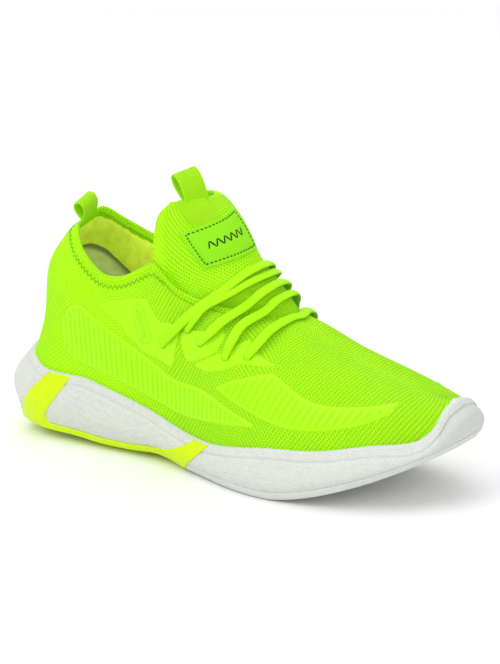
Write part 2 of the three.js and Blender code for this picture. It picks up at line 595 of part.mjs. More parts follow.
const shoe = new THREE.Group();
function node(name, look, body) {
  const { vertProperties, triVerts } = body.simplify(TRIM).getMesh();
  const g = new THREE.BufferGeometry();
  g.setAttribute("position", new THREE.BufferAttribute(vertProperties, 3));
  g.setIndex(new THREE.BufferAttribute(triVerts, 1));
  const mesh = new THREE.Mesh(g.toNonIndexed(), new THREE.MeshStandardMaterial(look));
  mesh.geometry.computeVertexNormals();
  mesh.name = name;
  shoe.add(mesh);
}
node("outsole_heel_tread", FOAM, heelTread);
node("heel_cradle", CRADLE, heelCradle);
node("outsole_rear", FOAM, outsoleRear);
node("outsole_front", FOAM, outsoleFront);
node("midsole_rear", FOAM, midsoleRear);
node("midsole_front", FOAM, midsoleFront);
node("strobel_rear", GREY, rearOf(strobel));
node("strobel_front", GREY, frontOf(strobel));
node("insole_rear", GREY, rearOf(insole));
node("insole_front", GREY, frontOf(insole));
node("upper_rear", KNIT_LIME, rearOf(wholeUpper.subtract(laceHoles)));
node("upper_front", KNIT_LIME, upperFront);
node("heel_counter", GREY, heelCounter);
node("toe_puff", GREY, toePuff);
node("heel_lining", GREY, heelLining);
node("collar_lining", OLIVE, collarLining);
node("collar_binding", FILM_LIME, collarBinding);
node("heel_backstay", OLIVE, heelBackstay);
for (const [name, sign] of [["lateral", -1], ["medial", 1]]) {
  node(`quarter_ribs_${name}`, FILM_LIME, overlays(QUARTER_RIBS, sign, 14, 3));
  node(`forefoot_ribs_rear_${name}`, FILM_LIME, forefootRibs(sign, FOREFOOT_RIBS.lower[0][0], FLEX.x - 2));
  node(`forefoot_ribs_front_${name}`, FILM_LIME, forefootRibs(sign, FLEX.x + TOE_SLIDE, 253, stepIn));
  node(`rear_wing_${name}`, FILM_LIME, overlays(REAR_WING, sign, 8, 3));
  node(`middle_eyestay_${name}`, FILM_LIME, overlays(MIDDLE_STAY, sign, 4, 2));
  node(`front_eyestay_${name}`, FILM_LIME, overlays(FRONT_STAY, sign, 7, 2));
}
node("lace", LACE_LIME, lace);
node("tongue_base", KNIT_LIME, tongueBase);
node("tongue_top", KNIT_LIME, tongueTop);
node("tongue_label", finish(0x7ed321, 0.6), tongueLabel);
node("tongue_tab_strap", LACE_LIME, tongueStrap);
node("tongue_pull_loop", LACE_LIME, tongueTab);
node("heel_pull_loop", LACE_LIME, heelTab);

shoe.position.set(-(REAR + TIP) / 2, 0, DATUM);
const part = new THREE.Group();
part.name = "running_shoe";
part.add(shoe);
export default part;
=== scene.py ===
import math

import bmesh
import bpy
import numpy as np
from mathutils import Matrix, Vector


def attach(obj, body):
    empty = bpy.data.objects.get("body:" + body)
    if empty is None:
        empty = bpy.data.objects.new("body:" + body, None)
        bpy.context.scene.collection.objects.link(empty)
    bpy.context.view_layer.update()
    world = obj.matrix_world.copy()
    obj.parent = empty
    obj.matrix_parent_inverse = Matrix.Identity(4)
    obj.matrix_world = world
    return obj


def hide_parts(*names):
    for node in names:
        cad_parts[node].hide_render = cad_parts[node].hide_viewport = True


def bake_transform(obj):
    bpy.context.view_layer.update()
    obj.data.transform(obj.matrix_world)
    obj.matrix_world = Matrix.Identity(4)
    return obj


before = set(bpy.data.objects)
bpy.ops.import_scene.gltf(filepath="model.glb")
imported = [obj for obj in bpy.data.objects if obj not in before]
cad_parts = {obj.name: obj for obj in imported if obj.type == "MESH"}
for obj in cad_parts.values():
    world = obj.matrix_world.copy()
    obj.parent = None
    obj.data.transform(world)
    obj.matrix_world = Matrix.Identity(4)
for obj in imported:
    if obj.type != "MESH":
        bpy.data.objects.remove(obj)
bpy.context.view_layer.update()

# ---- driving dimensions, in millimetres ----
REAR, TIP = -2.5, 287.0  # stations of the sole's two ends
DATUM = 1.7  # heights run from a level this far above the ground
KNIT = 2.0  # thickness of the knitted upper
BOARD = 1.4  # the board under the insole
GAP = 0.3
OUTSOLE = 4.5
SHIFT = np.array([-(REAR + TIP) / 2, 0, DATUM])
LINED = 3.85  # the lining ends this many columns forward of the heel


def to_row(points):
    return (np.asarray(points, float) + SHIFT) / 1000


# ---- curves ----
def mix(a, b, t):
    return a + (b - a) * t


def smooth(t):
    t = np.clip(t, 0, 1)
    return t * t * (3 - 2 * t)


def bell(value, middle, width):
    return np.exp(-(((value - middle) / width) ** 2))


def hermite(t, a, b, leave, arrive):
    """The cubic from a to b with those slopes at its ends, for t from 0 to 1."""
    rise = 3 * t**2 - 2 * t**3
    return (1 - rise) * a + rise * b + (t**3 - 2 * t**2 + t) * leave + (t**3 - t**2) * arrive


def arrays(*values):
    """The values as arrays of floats of one shape."""
    return np.broadcast_arrays(*(np.asarray(value, float) for value in values))


def by_row(first, last, count):
    """Even values, one for each row of a grid."""
    return np.linspace(first, last, count)[:, None]


def by_point(first, last, count):
    """Even values, one for each point of a row."""
    return np.linspace(first, last, count)[None, :]


def lengths_to(points):
    """The length of a line of points up to each of them."""
    return np.concatenate([[0], np.cumsum(np.linalg.norm(np.diff(points, axis=0), axis=-1))])


def through(knots):
    """A smooth function through knots (x, value), level outside them."""
    xs, ys = np.array(knots, float).T
    last = len(xs) - 1
    index = np.arange(last + 1)
    before, after = np.maximum(index - 1, 0), np.minimum(index + 1, last)
    slopes = (ys[after] - ys[before]) / (xs[after] - xs[before])

    def value(x):
        x = np.clip(x, xs[0], xs[-1])
        i = np.clip(np.searchsorted(xs, x) - 1, 0, last - 1)
        h = xs[i + 1] - xs[i]
        t = (x - xs[i]) / h
        rise = mix(ys[i], ys[i + 1], t * t * (3 - 2 * t))
        return rise + h * t * (1 - t) * (slopes[i] * (1 - t) - slopes[i + 1] * t)

    return value


def by_column(values):
    return through(list(enumerate(values)))


def spline(points, closed=False):
    """A Catmull-Rom curve through the points, as a function of t from 0 to 1."""
    points = np.array(points, float)
    count = len(points)
    if not closed:
        first, last = 2 * points[0] - points[1], 2 * points[-1] - points[-2]
        points = np.vstack([first, points, last])

    def value(t):
        p = np.asarray(t, float) * (count if closed else count - 1)
        i = np.floor(p).astype(int)
        if not closed:
            i = np.clip(i, 0, count - 2)
        f = (p - i)[..., None]
        a, b, c, d = (points[(i + k) % count] if closed else points[i + k + 1] for k in (-1, 0, 1, 2))
        return hermite(f, b, c, (c - a) / 2, (d - b) / 2)

    return value


def unit(vectors):
    return vectors / np.maximum(np.linalg.norm(vectors, axis=-1, keepdims=True), 1e-9)


# ---- the plan and the heights of the sole; column 0 is the heel, 12 the toe, 0 to 12 the lateral side ----
plan_line = spline(
    [
        [-2.5, 0], [0.5, -18.5], [20, -31], [60, -33.5], [104, -35], [135, -42], [165, -52], [190, -56.5],
        [222, -53.5], [250, -43], [271, -27], [284, -7], [287, 10], [284, 25], [271, 38], [250, 46],
        [220, 49], [190, 46], [160, 39], [130, 33], [95, 31], [60, 32], [20, 28], [2.5, 15],
    ],
    closed=True,
)
underside = through(
    [
        (REAR, 8), (8, 3.5), (25, 1.6), (50, 0.3), (72, -DATUM), (88, -DATUM), (108, 0), (138, -DATUM),
        (192, -DATUM), (215, 2.2), (240, 10), (262, 19), (280, 28), (287, 33),
    ]
)
footbed_z = through(
    [(0, 28), (40, 27), (90, 22), (139, 14), (190, 12), (215, 14.5), (240, 20), (265, 28), (287, 34)]
)
lip_z = through(
    [
        (0, 48.5), (1, 47.2), (1.5, 45), (1.9, 42), (2.25, 38.6), (2.7, 38), (3, 37.6), (4, 26.8), (4.5, 22),
        (5, 19.3), (5.5, 18.8), (6, 20.8), (7, 25), (8, 27.6), (9, 32.2), (10, 34.2), (10.4, 39),
        (10.8, 47.3), (11.3, 50), (12, 51),
    ]
)
lip_wall = by_column([2.2, 2.2, 2.2, 2.2, 2.2, 2.2, 2.2, 2.2, 2.2, 2.4, 3, 3.8, 3.8])
waist = through([(0, 0.5), (3, 0.42), (5, 0.38)])  # share of the side wall's height where it is widest
# How far the bottom edge stands over the ground: the heel's is rounded.
edge_rise = through([(0, 2.4), (2.4, 2.6), (3.4, 3.3), (4.2, 2.8), (4.8, 1.2), (5.6, 0.3), (6.5, 0)])
bottom_inset = by_column([6, 5, 4, 4, 4, 3.5, 3, 3, 3, 3.5, 4, 5, 6])


def ground_z(x):
    return np.maximum(-DATUM, underside(x))


def column(c):
    return np.mod(c, 24)


def half_column(c):
    c = column(c)
    return np.where(c <= 12, c, 24 - c)


def side(c):
    return np.where(column(c) <= 12, -1, 1)


def plan(c):
    flat = plan_line(column(c) / 24)
    return np.concatenate([flat, np.zeros(flat.shape[:-1] + (1,))], axis=-1)


def outward(c):
    along = plan(c + 0.05) - plan(c - 0.05)
    return unit(np.stack([along[..., 1], -along[..., 0], 0 * along[..., 0]], axis=-1))


def plan_in(c, inset):
    return plan(c) - outward(c) * np.asarray(inset)[..., None]


# ---- the outside of the knitted upper ----
# The collar rim, the throat edge and the ridge of the vamp: column, station, half width, height.
RIM = [
    (0, 38.5, 0, 122.8), (1, 42.3, 12.5, 121), (2, 53.5, 24, 111), (3, 71.8, 30, 100), (3.5, 85.3, 31, 100.4),
    (4, 99.5, 31, 107.3), (4.35, 106.5, 30.5, 110), (5, 123, 31, 98.5), (6, 151, 24, 90.5), (7, 180, 0, 85),
    (8, 202, 0, 73.2), (9, 224, 0, 63.6), (10, 245, 0, 55.8), (11, 260, 0, 52.5), (12, 267, 0, 51.5),
]
rim_x, rim_half_width, rim_z = (through([(knot[0], knot[i]) for knot in RIM]) for i in (1, 2, 3))
medial_lift = through([(0, 0), (1, 6), (2, 6.5), (3, 8.5), (3.5, 7.5), (4, 2.5), (4.5, 0)])
base_inset = by_column([8, 7, 5.5, 5, 5, 5, 5.5, 6, 6.5, 7, 7, 6.8, 6.5])
straight = by_column([0.9, 0.9, 0.85, 0.8, 0.7, 0.45, 0.2, 0, 0, 0, 0, 0, 0])
fullness = by_column([1, 1, 1, 1, 1, 1, 1, 1, 1.05, 1.15, 1.3, 1.5, 1.6])
bulge = by_column([2.3, 2.8, 3.5, 3, 2.5, 2, 1, 0, 0, 0, 0, 0, 0])
kick = by_column([5, 4.4, 2.6, 1.2, 0.5, 0, 0, 0, 0, 0, 0, 0, 0])
shoulder = by_column([1, 1, 0.7, 0, 0, 0, 0, 0, 0, 0, 0, 0, 0])


def ridge_y(x):
    return 8 * smooth((x - 150) / 100)


def skin_point(c, v):
    c, v = arrays(c, v)
    h = half_column(c)
    base = plan_in(c, base_inset(h))
    base[..., 2] = footbed_z(base[..., 0]) + BOARD + GAP
    lift = np.where(side(c) > 0, medial_lift(h), 0)
    half_width = np.maximum(0, rim_half_width(h))
    top = np.stack([rim_x(h), side(c) * half_width + ridge_y(rim_x(h)), rim_z(h) + lift], axis=-1)
    angle = v * math.pi / 2
    inward = mix((1 - np.cos(angle)) ** fullness(h), v, straight(h))[..., None]
    up = mix(np.sin(angle), v, straight(h))[..., None]
    p = mix(base, top, np.concatenate([inward, inward, up], axis=-1))
    swell = bulge(h) * np.sin(math.pi * v) - kick(h) * np.sin(2 * math.pi * v)
    swell = swell + shoulder(h) * np.sin(3 * math.pi * v)
    return p + outward(c) * swell[..., None]


def skin_normal(c, v):
    step = 0.02
    along = skin_point(c + step, v) - skin_point(c - step, v)
    up = skin_point(c, np.minimum(1, v + step)) - skin_point(c, np.maximum(0, v - step))
    return unit(np.cross(along, up))


def shoe_skin(c, v, depth=0.0):
    """The point at that depth outside (+) or inside (-) the skin. Both sides of the ridge share a normal."""
    c, v, depth = arrays(c, v, depth)
    n = skin_normal(c, v)
    ridge = smooth((v - 0.9) / 0.1) * (half_column(c) >= 6.9)
    n = unit(n + skin_normal(24 - c, v) * ridge[..., None])
    return skin_point(c, v) + n * depth[..., None]


def height_to_v(c, z):
    low, high = np.zeros(np.shape(c)), np.ones(np.shape(c))
    for _ in range(22):
        middle = (low + high) / 2
        below = skin_point(c, middle)[..., 2] < z
        low, high = np.where(below, middle, low), np.where(below, high, middle)
    return (low + high) / 2


_stations = np.linspace(0.3, 11.9, 240)
_station_x = skin_point(_stations, 0.3)[..., 0]


def skin_at(x, z):
    """The column and v on the lateral side where the skin passes station x at height z."""
    x, z = arrays(x, z)
    c, v = np.interp(x, _station_x, _stations), np.full(x.shape, 0.4)
    step = 1e-3
    for _ in range(14):
        p = skin_point(c, v)
        by_c = (skin_point(c + step, v) - p) / step
        by_v = (skin_point(c, v + step) - p) / step
        dx, dz = x - p[..., 0], z - p[..., 2]
        area = by_c[..., 0] * by_v[..., 2] - by_v[..., 0] * by_c[..., 2]
        area = np.where(np.abs(area) < 1e-3, 1e-3, area)
        c = np.clip(c + np.clip((dx * by_v[..., 2] - by_v[..., 0] * dz) / area, -0.6, 0.6), 0.3, 11.9)
        v = np.clip(v + np.clip((by_c[..., 0] * dz - by_c[..., 2] * dx) / area, -0.2, 0.2), 0, 1)
    return c, v


# ---- the outside of the tongue ----
# w climbs from under the vamp (0) to the top (8), and a crosses it from -1 to 1.
tongue_centre = spline(
    [
        [198, 3, 69], [183, 2, 79.5], [169, 0, 97.5], [159.5, 0, 105.8], [152.5, 0, 114.6], [146.9, 0, 124],
        [140.3, 0, 133], [132.9, 0, 140.4], [125.8, 0, 146],
    ]
)
tongue_edge = spline(
    [
        [191, 8, 66], [173, 14, 75], [150, 20, 84], [126, 27, 90], [108, 27, 102], [105.5, 28, 116],
        [105.5, 27, 128], [106.5, 24, 138], [110, 18.5, 144],
    ]
)


def tongue_point(w, a):
    w, a = arrays(w, a)
    centre, edge = tongue_centre(w / 8), tongue_edge(w / 8)
    angle = np.abs(a) * math.pi / 2
    back = 1 - np.cos(angle)
    across = centre[..., 1] + np.sign(a) * edge[..., 1] * np.sin(angle)
    return np.stack(
        [mix(centre[..., 0], edge[..., 0], back), across, mix(centre[..., 2], edge[..., 2], back)], axis=-1
    )


def tongue_skin(w, a, depth=0.0):
    w, a, depth = arrays(w, a, depth)
    step = 0.02
    up = tongue_point(np.minimum(8, w + step), a) - tongue_point(np.maximum(0, w - step), a)
    across = tongue_point(w, a + step) - tongue_point(w, a - step)
    return tongue_point(w, a) + unit(np.cross(across, up)) * depth[..., None]


# ---- mesh building ----
UV_SCALE = 0.01  # one UV unit is 100 mm


def arc_uv(points, from_top=False):
    """UVs in step with the lengths along a grid: u along its middle row, v along each column."""
    middle = points[:, points.shape[1] // 2]
    u = lengths_to(middle)
    steps = np.linalg.norm(np.diff(points, axis=1), axis=-1)
    v = np.concatenate([np.zeros((len(points), 1)), np.cumsum(steps, axis=1)], axis=1)
    if from_top:
        v = v - v[:, -1:]
    return np.stack([np.broadcast_to(u[:, None], v.shape), v], axis=-1)


class Mesh:
    """Grids of points that are joined where they touch."""

    def __init__(self):
        self.points, self.uvs, self.faces, self.tones = [], [], [], []
        self.count = 0

    def grid(self, points, uv=None, tone=0.0):
        """A sheet of quads; tone is a number for the material."""
        rows, columns = points.shape[:2]
        uv = arc_uv(points) if uv is None else uv
        index = self.count + np.arange(rows * columns).reshape(rows, columns)
        quads = np.stack([index[:-1, :-1], index[1:, :-1], index[1:, 1:], index[:-1, 1:]], axis=-1)
        self.faces += quads.reshape(-1, 4).tolist()
        self.points.append(points.reshape(-1, 3))
        self.uvs.append(uv.reshape(-1, 2))
        self.tones.append(np.broadcast_to(tone, (rows, columns)).ravel())
        self.count += rows * columns
        return self

    def strip(self, a, b):
        """Quads between two lines of points."""
        return self.grid(np.stack([a, b], axis=1))

    def fan(self, ring, middle):
        """Closes a ring of points round a middle."""
        return self.grid(np.stack([ring, np.broadcast_to(middle, ring.shape)]))

    def rim(self, outer, inner, uv, roundness=0.5, tone=0.0):
        """A rounded edge from a border of the outer sheet to the same border of the inner one. Each border is
        given with the line of points next to it: (border, beside)."""
        (a, a_in), (b, _) = outer, inner
        reach = unit(a - a_in) * np.linalg.norm(a - b, axis=-1, keepdims=True) * roundness
        lines = []
        for turn in np.linspace(0, 1, 5):
            lines.append(mix(a, b, (1 - math.cos(turn * math.pi)) / 2) + reach * math.sin(turn * math.pi))
        points = np.stack(lines, axis=1)
        tone = np.broadcast_to(np.asarray(tone)[..., None], points.shape[:2]) if np.ndim(tone) else tone
        return self.grid(points, np.repeat(uv[:, None], len(lines), axis=1), tone=tone)

    def shell(self, outer, inner, uv=None, roundness=0.5, tone=0.0):
        """A closed sheet between two grids, with rounded edges."""
        uv = arc_uv(outer) if uv is None else uv
        self.grid(outer, uv, tone=tone)
        self.grid(inner, uv, tone=tone)
        border = [(i, 0) for i in range(len(outer))]
        border += [(len(outer) - 1, j) for j in range(1, outer.shape[1])]
        border += [(i, outer.shape[1] - 1) for i in range(len(outer) - 2, -1, -1)]
        border += [(0, j) for j in range(outer.shape[1] - 2, -1, -1)]
        i, j = np.array(border).T
        beside = (np.clip(i, 1, len(outer) - 2), np.clip(j, 1, outer.shape[1] - 2))
        edge_tone = tone[i, j] if np.ndim(tone) else tone
        self.rim((outer[i, j], outer[beside]), (inner[i, j], inner[beside]), uv[i, j], roundness, edge_tone)
        return self

    def make(self, name, look, joined=0.004):
        """The object, with points nearer than joined millimetres merged and normals facing out."""
        mesh = bpy.data.meshes.new(name)
        points = to_row(np.concatenate(self.points))
        mesh.from_pydata(points.tolist(), [], self.faces)
        corner = np.zeros(len(mesh.loops), int)
        mesh.loops.foreach_get("vertex_index", corner)
        layer = mesh.uv_layers.new(name="Lengths")
        layer.data.foreach_set("uv", (np.concatenate(self.uvs)[corner] * UV_SCALE).astype(np.float32).ravel())
        tone = mesh.attributes.new("tone", "FLOAT", "POINT")
        tone.data.foreach_set("value", np.concatenate(self.tones).astype(np.float32))
        work = bmesh.new()
        work.from_mesh(mesh)
        bmesh.ops.remove_doubles(work, verts=work.verts, dist=joined / 1000)
        bmesh.ops.dissolve_degenerate(work, edges=work.edges, dist=joined / 2000)
        bmesh.ops.recalc_face_normals(work, faces=work.faces)
        work.to_mesh(mesh)
        work.free()
        mesh.shade_smooth()
        piece = bpy.data.objects.new(name, mesh)
        bpy.context.scene.collection.objects.link(piece)
        slot, material = LOOKS[look]
        mesh.materials.append(material)
        return piece


# The soft pieces that cross a hinge: the body that follows it, and the first and last point of the bend.
BENDS = {
    "foot": ("forefoot", "forefoot_flex", Vector((-0.030, 0, 0)), Vector((0.030, 0, 0))),
    "tongue": ("tongue", "tongue_flex", Vector((0, 0, -0.017)), Vector((0, 0, 0.018))),
}


def place(piece, *nodes, body="rearfoot"):
    """Puts a finished piece on its body, or over one of the BENDS."""
    if nodes:
        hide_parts(*nodes)
    if body in BENDS:
        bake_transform(piece)
    else:
        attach(piece, body)
    return piece


# ---- materials ----
class Graph:
    """A small writer of node materials."""

    def __init__(self, name, roughness=0.6):
        self.material = bpy.data.materials.new(name)
        self.material.use_nodes = True
        self.nodes, self.links = self.material.node_tree.nodes, self.material.node_tree.links
        self.shader = self.nodes["Principled BSDF"]
        self.shader.inputs["Roughness"].default_value = roughness
        self.shader.inputs["Specular IOR Level"].default_value = 0.2
        uv = self.nodes.new("ShaderNodeUVMap")
        uv.uv_map = "Lengths"
        split = self.nodes.new("ShaderNodeSeparateXYZ")
        self.links.new(uv.outputs["UV"], split.inputs[0])
        self.u = self.math("DIVIDE", split.outputs["X"], UV_SCALE)
        self.v = self.math("DIVIDE", split.outputs["Y"], UV_SCALE)

    def put(self, socket, value):
        if isinstance(value, bpy.types.NodeSocket):
            self.links.new(value, socket)
        else:
            socket.default_value = value

    def math(self, operation, *values):
        node = self.nodes.new("ShaderNodeMath")
        node.operation = operation
        for i, value in enumerate(values):
            self.put(node.inputs[i], value)
        return node.outputs[0]

    def times(self, a, b):
        return self.math("MULTIPLY", a, b)

    def plus(self, a, b):
        return self.math("ADD", a, b)

    def scaled(self, value, by, plus):
        return self.math("MULTIPLY_ADD", value, by, plus)

    def ramp(self, value, low, high, to_low=0.0, to_high=1.0):
        node = self.nodes.new("ShaderNodeMapRange")
        node.interpolation_type = "SMOOTHSTEP"
        for i, v in enumerate((value, low, high, to_low, to_high)):
            self.put(node.inputs[i], v)
        return node.outputs[0]

    def mixed(self, factor, a, b):
        node = self.nodes.new("ShaderNodeMix")
        node.data_type = "RGBA"
        self.put(node.inputs[0], factor)
        for socket, value in ((node.inputs[6], a), (node.inputs[7], b)):
            self.put(socket, (*value, 1) if isinstance(value, tuple) else value)
        return node.outputs[2]

    def tone(self):
        node = self.nodes.new("ShaderNodeAttribute")
        node.attribute_name = "tone"
        return node.outputs["Fac"]

    def place_mm(self):
        """The object's own coordinates, in millimetres."""
        node = self.nodes.new("ShaderNodeTexCoord")
        scale = self.nodes.new("ShaderNodeVectorMath")
        scale.operation = "SCALE"
        scale.inputs["Scale"].default_value = 1000
        self.links.new(node.outputs["Object"], scale.inputs[0])
        return scale.outputs[0]

    def lengths(self):
        node = self.nodes.new("ShaderNodeCombineXYZ")
        self.put(node.inputs[0], self.u)
        self.put(node.inputs[1], self.v)
        return node.outputs[0]

    def noise(self, per_mm, detail=3.0):
        node = self.nodes.new("ShaderNodeTexNoise")
        node.inputs["Scale"].default_value = per_mm
        node.inputs["Detail"].default_value = detail
        self.links.new(self.place_mm(), node.inputs["Vector"])
        return node.outputs["Fac"]

    def cells(self, per_mm, feature="F1", where=None):
        node = self.nodes.new("ShaderNodeTexVoronoi")
        node.feature = feature
        node.inputs["Scale"].default_value = per_mm
        self.links.new(where or self.place_mm(), node.inputs["Vector"])
        return node.outputs["Distance"]

    def wave(self, value, pitch):
        """A sine from 0 to 1 with that pitch."""
        return self.scaled(self.math("SINE", self.times(value, 2 * math.pi / pitch)), 0.5, 0.5)

    def dots(self, pitch, radius, soft, squash=1.0):
        """Dots on a staggered lattice: 1 in a dot and 0 outside it."""
        tall = pitch * math.sqrt(3)

        def from_centre(value, step, offset, stretch=1.0):
            fraction = self.math("FRACT", self.scaled(value, 1 / step, offset))
            return self.times(self.math("SUBTRACT", fraction, 0.5), step * stretch)

        def lattice(offset):
            a, b = from_centre(self.u, pitch, offset), from_centre(self.v, tall, offset, squash)
            return self.math("SQRT", self.plus(self.math("POWER", a, 2.0), self.math("POWER", b, 2.0)))

        nearest = self.math("MINIMUM", lattice(0.0), lattice(0.5))
        return self.ramp(nearest, self.math("SUBTRACT", radius, soft), self.plus(radius, soft), 1.0, 0.0)

    def finish(self, colour, height, depth, strength=1.0, glow=0.0):
        """Sets the colour, a bump of that depth in millimetres and a glow of painted light."""
        self.put(self.shader.inputs["Base Color"], colour)
        bump = self.nodes.new("ShaderNodeBump")
        bump.inputs["Strength"].default_value = strength
        bump.inputs["Distance"].default_value = depth / 1000
        self.links.new(height, bump.inputs["Height"])
        self.links.new(bump.outputs["Normal"], self.shader.inputs["Normal"])
        if glow:
            self.put(self.shader.inputs["Emission Color"], colour)
            self.shader.inputs["Emission Strength"].default_value = glow
        return self.material


LIME = (0.385, 0.82, 0.002)
LIME_SHADE = (0.20, 0.56, 0.010)
FILM = (0.375, 0.80, 0.002)
FILM_SHADE = (0.27, 0.67, 0.001)
PAINTED_GLOW = 0.12  # painted light: a glow that brightens the fluorescent lime dye


def knit_material():
    g = Graph("knit_lime", 0.85)
    openness = g.tone()
    radius = g.scaled(openness, 0.30, 0.30)
    holes = g.dots(2.0, radius, 0.22, 0.8)
    yarn = g.wave(g.plus(g.u, g.times(g.v, 0.5)), 0.7)
    shade = g.times(holes, g.scaled(openness, 0.28, 0.45))
    patchy = g.noise(0.04, 2.0)
    base = g.mixed(g.ramp(patchy, 0.3, 0.7), LIME, (0.36, 0.79, 0.002))
    colour = g.mixed(shade, base, LIME_SHADE)
    height = g.math("SUBTRACT", g.times(yarn, 0.25), holes)
    # The glow is painted light that brightens the knit.
    return g.finish(colour, height, depth=0.36, glow=0.16)


def film_material():
    g = Graph("film_lime", 0.42)
    colour = g.mixed(g.tone(), FILM, FILM_SHADE)
    grain = g.noise(1.6, 4.0)
    ghost = g.dots(2.0, 0.5, 0.3, 0.8)
    height = g.plus(grain, g.times(ghost, -0.25))
    return g.finish(colour, height, depth=0.10, strength=0.6, glow=PAINTED_GLOW)


def webbing_material(name, base, dark, rib=0.9, glow=PAINTED_GLOW, depth=0.25, contrast=0.45):
    g = Graph(name, 0.7)
    along = g.wave(g.plus(g.u, g.times(g.math("ABSOLUTE", g.v), 0.6)), rib)
    across = g.wave(g.v, rib * 0.8)
    weave = g.times(along, across)
    # Painted shade: the colour darkens in the troughs of the ribs.
    colour = g.mixed(g.times(g.math("SUBTRACT", 1.0, along), contrast), base, dark)
    # The tone paints shade: on the lace it darkens the sides and underside.
    colour = g.mixed(g.times(g.tone(), 0.75), colour, tuple(0.4 * part for part in dark))
    return g.finish(colour, g.plus(weave, along), depth=depth, glow=glow)


def foam_material(name, base, dark, moulded):
    """White foam or rubber. Its tone says which side texture it has: 0 scales, 1 cells and 2 speckles."""
    g = Graph(name, 0.55)
    scales = g.dots(1.7, 0.62, 0.18, 0.9)
    crackle = g.ramp(g.cells(0.22, "DISTANCE_TO_EDGE", g.lengths()), 0.0, 0.25)
    speckle = g.cells(1.1)
    tone = g.tone()
    fine = g.noise(2.4)
    heel = g.ramp(tone, 0.2, 0.6)
    toe = g.ramp(tone, 1.4, 1.8)
    height = g.mixed(heel, scales, g.plus(g.times(crackle, 0.4), scales))
    height = g.mixed(toe, height, speckle)
    height = g.plus(height, g.times(fine, 0.4)) if moulded else fine
    shade = g.times(toe, g.scaled(speckle, 0.5, 0.2))
    mottle = g.ramp(g.noise(0.25), 0.35, 0.75)
    colour = g.mixed(g.math("MAXIMUM", shade, g.times(mottle, 0.18)), base, dark)
    return g.finish(colour, height, depth=0.28, strength=0.8)


def rubber_material():
    g = Graph("cradle_yellow", 0.38)
    cloudy = g.ramp(g.noise(0.12), 0.3, 0.75)
    colour = g.mixed(cloudy, (0.60, 0.80, 0.002), (0.54, 0.76, 0.002))
    # The glow is painted light that brightens the rubber.
    return g.finish(colour, g.noise(1.2), depth=0.05, strength=0.5, glow=0.08)


def lining_material(name, base, dark, glow):
    g = Graph(name, 0.85)
    weave = g.times(g.wave(g.u, 0.9), g.wave(g.v, 0.9))
    colour = g.mixed(g.ramp(g.noise(0.2, 4.0), 0.3, 0.7), base, dark)
    colour = g.mixed(g.tone(), colour, tuple(0.35 * part for part in dark))
    return g.finish(colour, weave, depth=0.12, glow=glow)


def label_material():
    g = Graph("label_green", 0.6)
    twill = g.wave(g.plus(g.u, g.v), 0.8)
    colour = g.mixed(g.times(twill, 0.35), (0.27, 0.75, 0.006), (0.20, 0.62, 0.004))
    # The glow is painted light that brightens the label.
    return g.finish(colour, twill, depth=0.08, glow=0.08)


def thread_material(name, base, dark):
    g = Graph(name, 0.6)
    twist = g.wave(g.plus(g.u, g.v), 0.5)
    return g.finish(g.mixed(twist, base, dark), twist, depth=0.05)


LOOKS = {  # the slot and the material of each look
    "knit": ("knit_lime", knit_material()),
    "film": ("film_lime", film_material()),
    "webbing": ("lace_lime", webbing_material(
        "webbing_lime", (0.39, 0.83, 0.004), LIME_SHADE, glow=0.18, contrast=0.35)),
    "lace": ("lace_lime", webbing_material(
        "lace_lime", (0.385, 0.83, 0.002), (0.19, 0.57, 0.001), rib=1.1, depth=0.10, contrast=0.25)),
    "binding": ("knit_lime", webbing_material(
        "binding_lime", (0.37, 0.80, 0.003), (0.17, 0.50, 0.001), rib=1.6)),
    "foam": ("foam_white", foam_material("foam_white", (0.70, 0.72, 0.68), (0.52, 0.54, 0.50), True)),
    "tread": ("tread_white", foam_material("tread_white", (0.70, 0.72, 0.68), (0.50, 0.52, 0.49), False)),
    "cradle": ("cradle_yellow", rubber_material()),
    # The olive and grey linings are set lighter than their own colour and given a glow: painted light inside
    # the shoe, which lies in shade.
    "olive": ("lining_olive", lining_material(
        "lining_olive", (0.60, 0.74, 0.055), (0.50, 0.64, 0.045), 0.28)),
    "grey": ("lining_grey", lining_material(
        "lining_grey", (0.56, 0.62, 0.25), (0.48, 0.54, 0.20), 0.18)),
    "backstay": ("lining_olive", lining_material(
        "backstay_olive", (0.30, 0.42, 0.06), (0.24, 0.34, 0.05), 0.05)),
    "label": ("label_green", label_material()),
    # The collar's thread is darker than the knit: painted shade round the stitches.
    "thread": ("lace_lime", thread_material("thread_lime_shaded", (0.26, 0.66, 0.002), (0.14, 0.46, 0.001))),
    "thread_dark": ("label_green", thread_material(
        "thread_dark", (0.03, 0.10, 0.003), (0.015, 0.06, 0.002))),
    "mark": ("label_green", thread_material(
        "mark_dark", (0.012, 0.02, 0.010), (0.006, 0.012, 0.006))),
}


# ---- stitches: small rounded threads laid on a surface ----
def stitches(name, starts, ends, normals, width, look):
    """One thread from each start to each end, half sunk into the surface."""
    mesh = Mesh()
    turns = np.linspace(0, 2 * math.pi, 7)
    profile = [(0, 0.0), (0.12, 0.75), (0.5, 1.0), (0.88, 0.75), (1, 0.0)]
    for start, end, normal in zip(starts, ends, normals):
        across = unit(np.cross(end - start, normal))
        rings = []
        for t, r in profile:
            middle = mix(start, end, t)
            rings.append([
                middle + (across * math.cos(a) + normal * math.sin(a) * 0.8) * r * width / 2 for a in turns
            ])
        mesh.grid(np.array(rings))
    return mesh.make(name, look, joined=0.002)


# ---- knitted upper ----
COLLAR = 6.95  # the columns short of this one have a free edge, the others meet over the vamp


def under_loop(c):
    """1 under the heel's pull loop and 0 beside it."""
    return smooth((1.1 - np.abs(c)) / 0.3)


def upper_openness(c, v):
    """How open the mesh of the knit is: fine round the heel and the collar, open over the forefoot."""
    p = skin_point(c, v)
    return mix(0.25, 1.0, smooth((p[..., 0] - 70) / 70)) * mix(1.0, 0.75, smooth((v - 0.86) / 0.1))


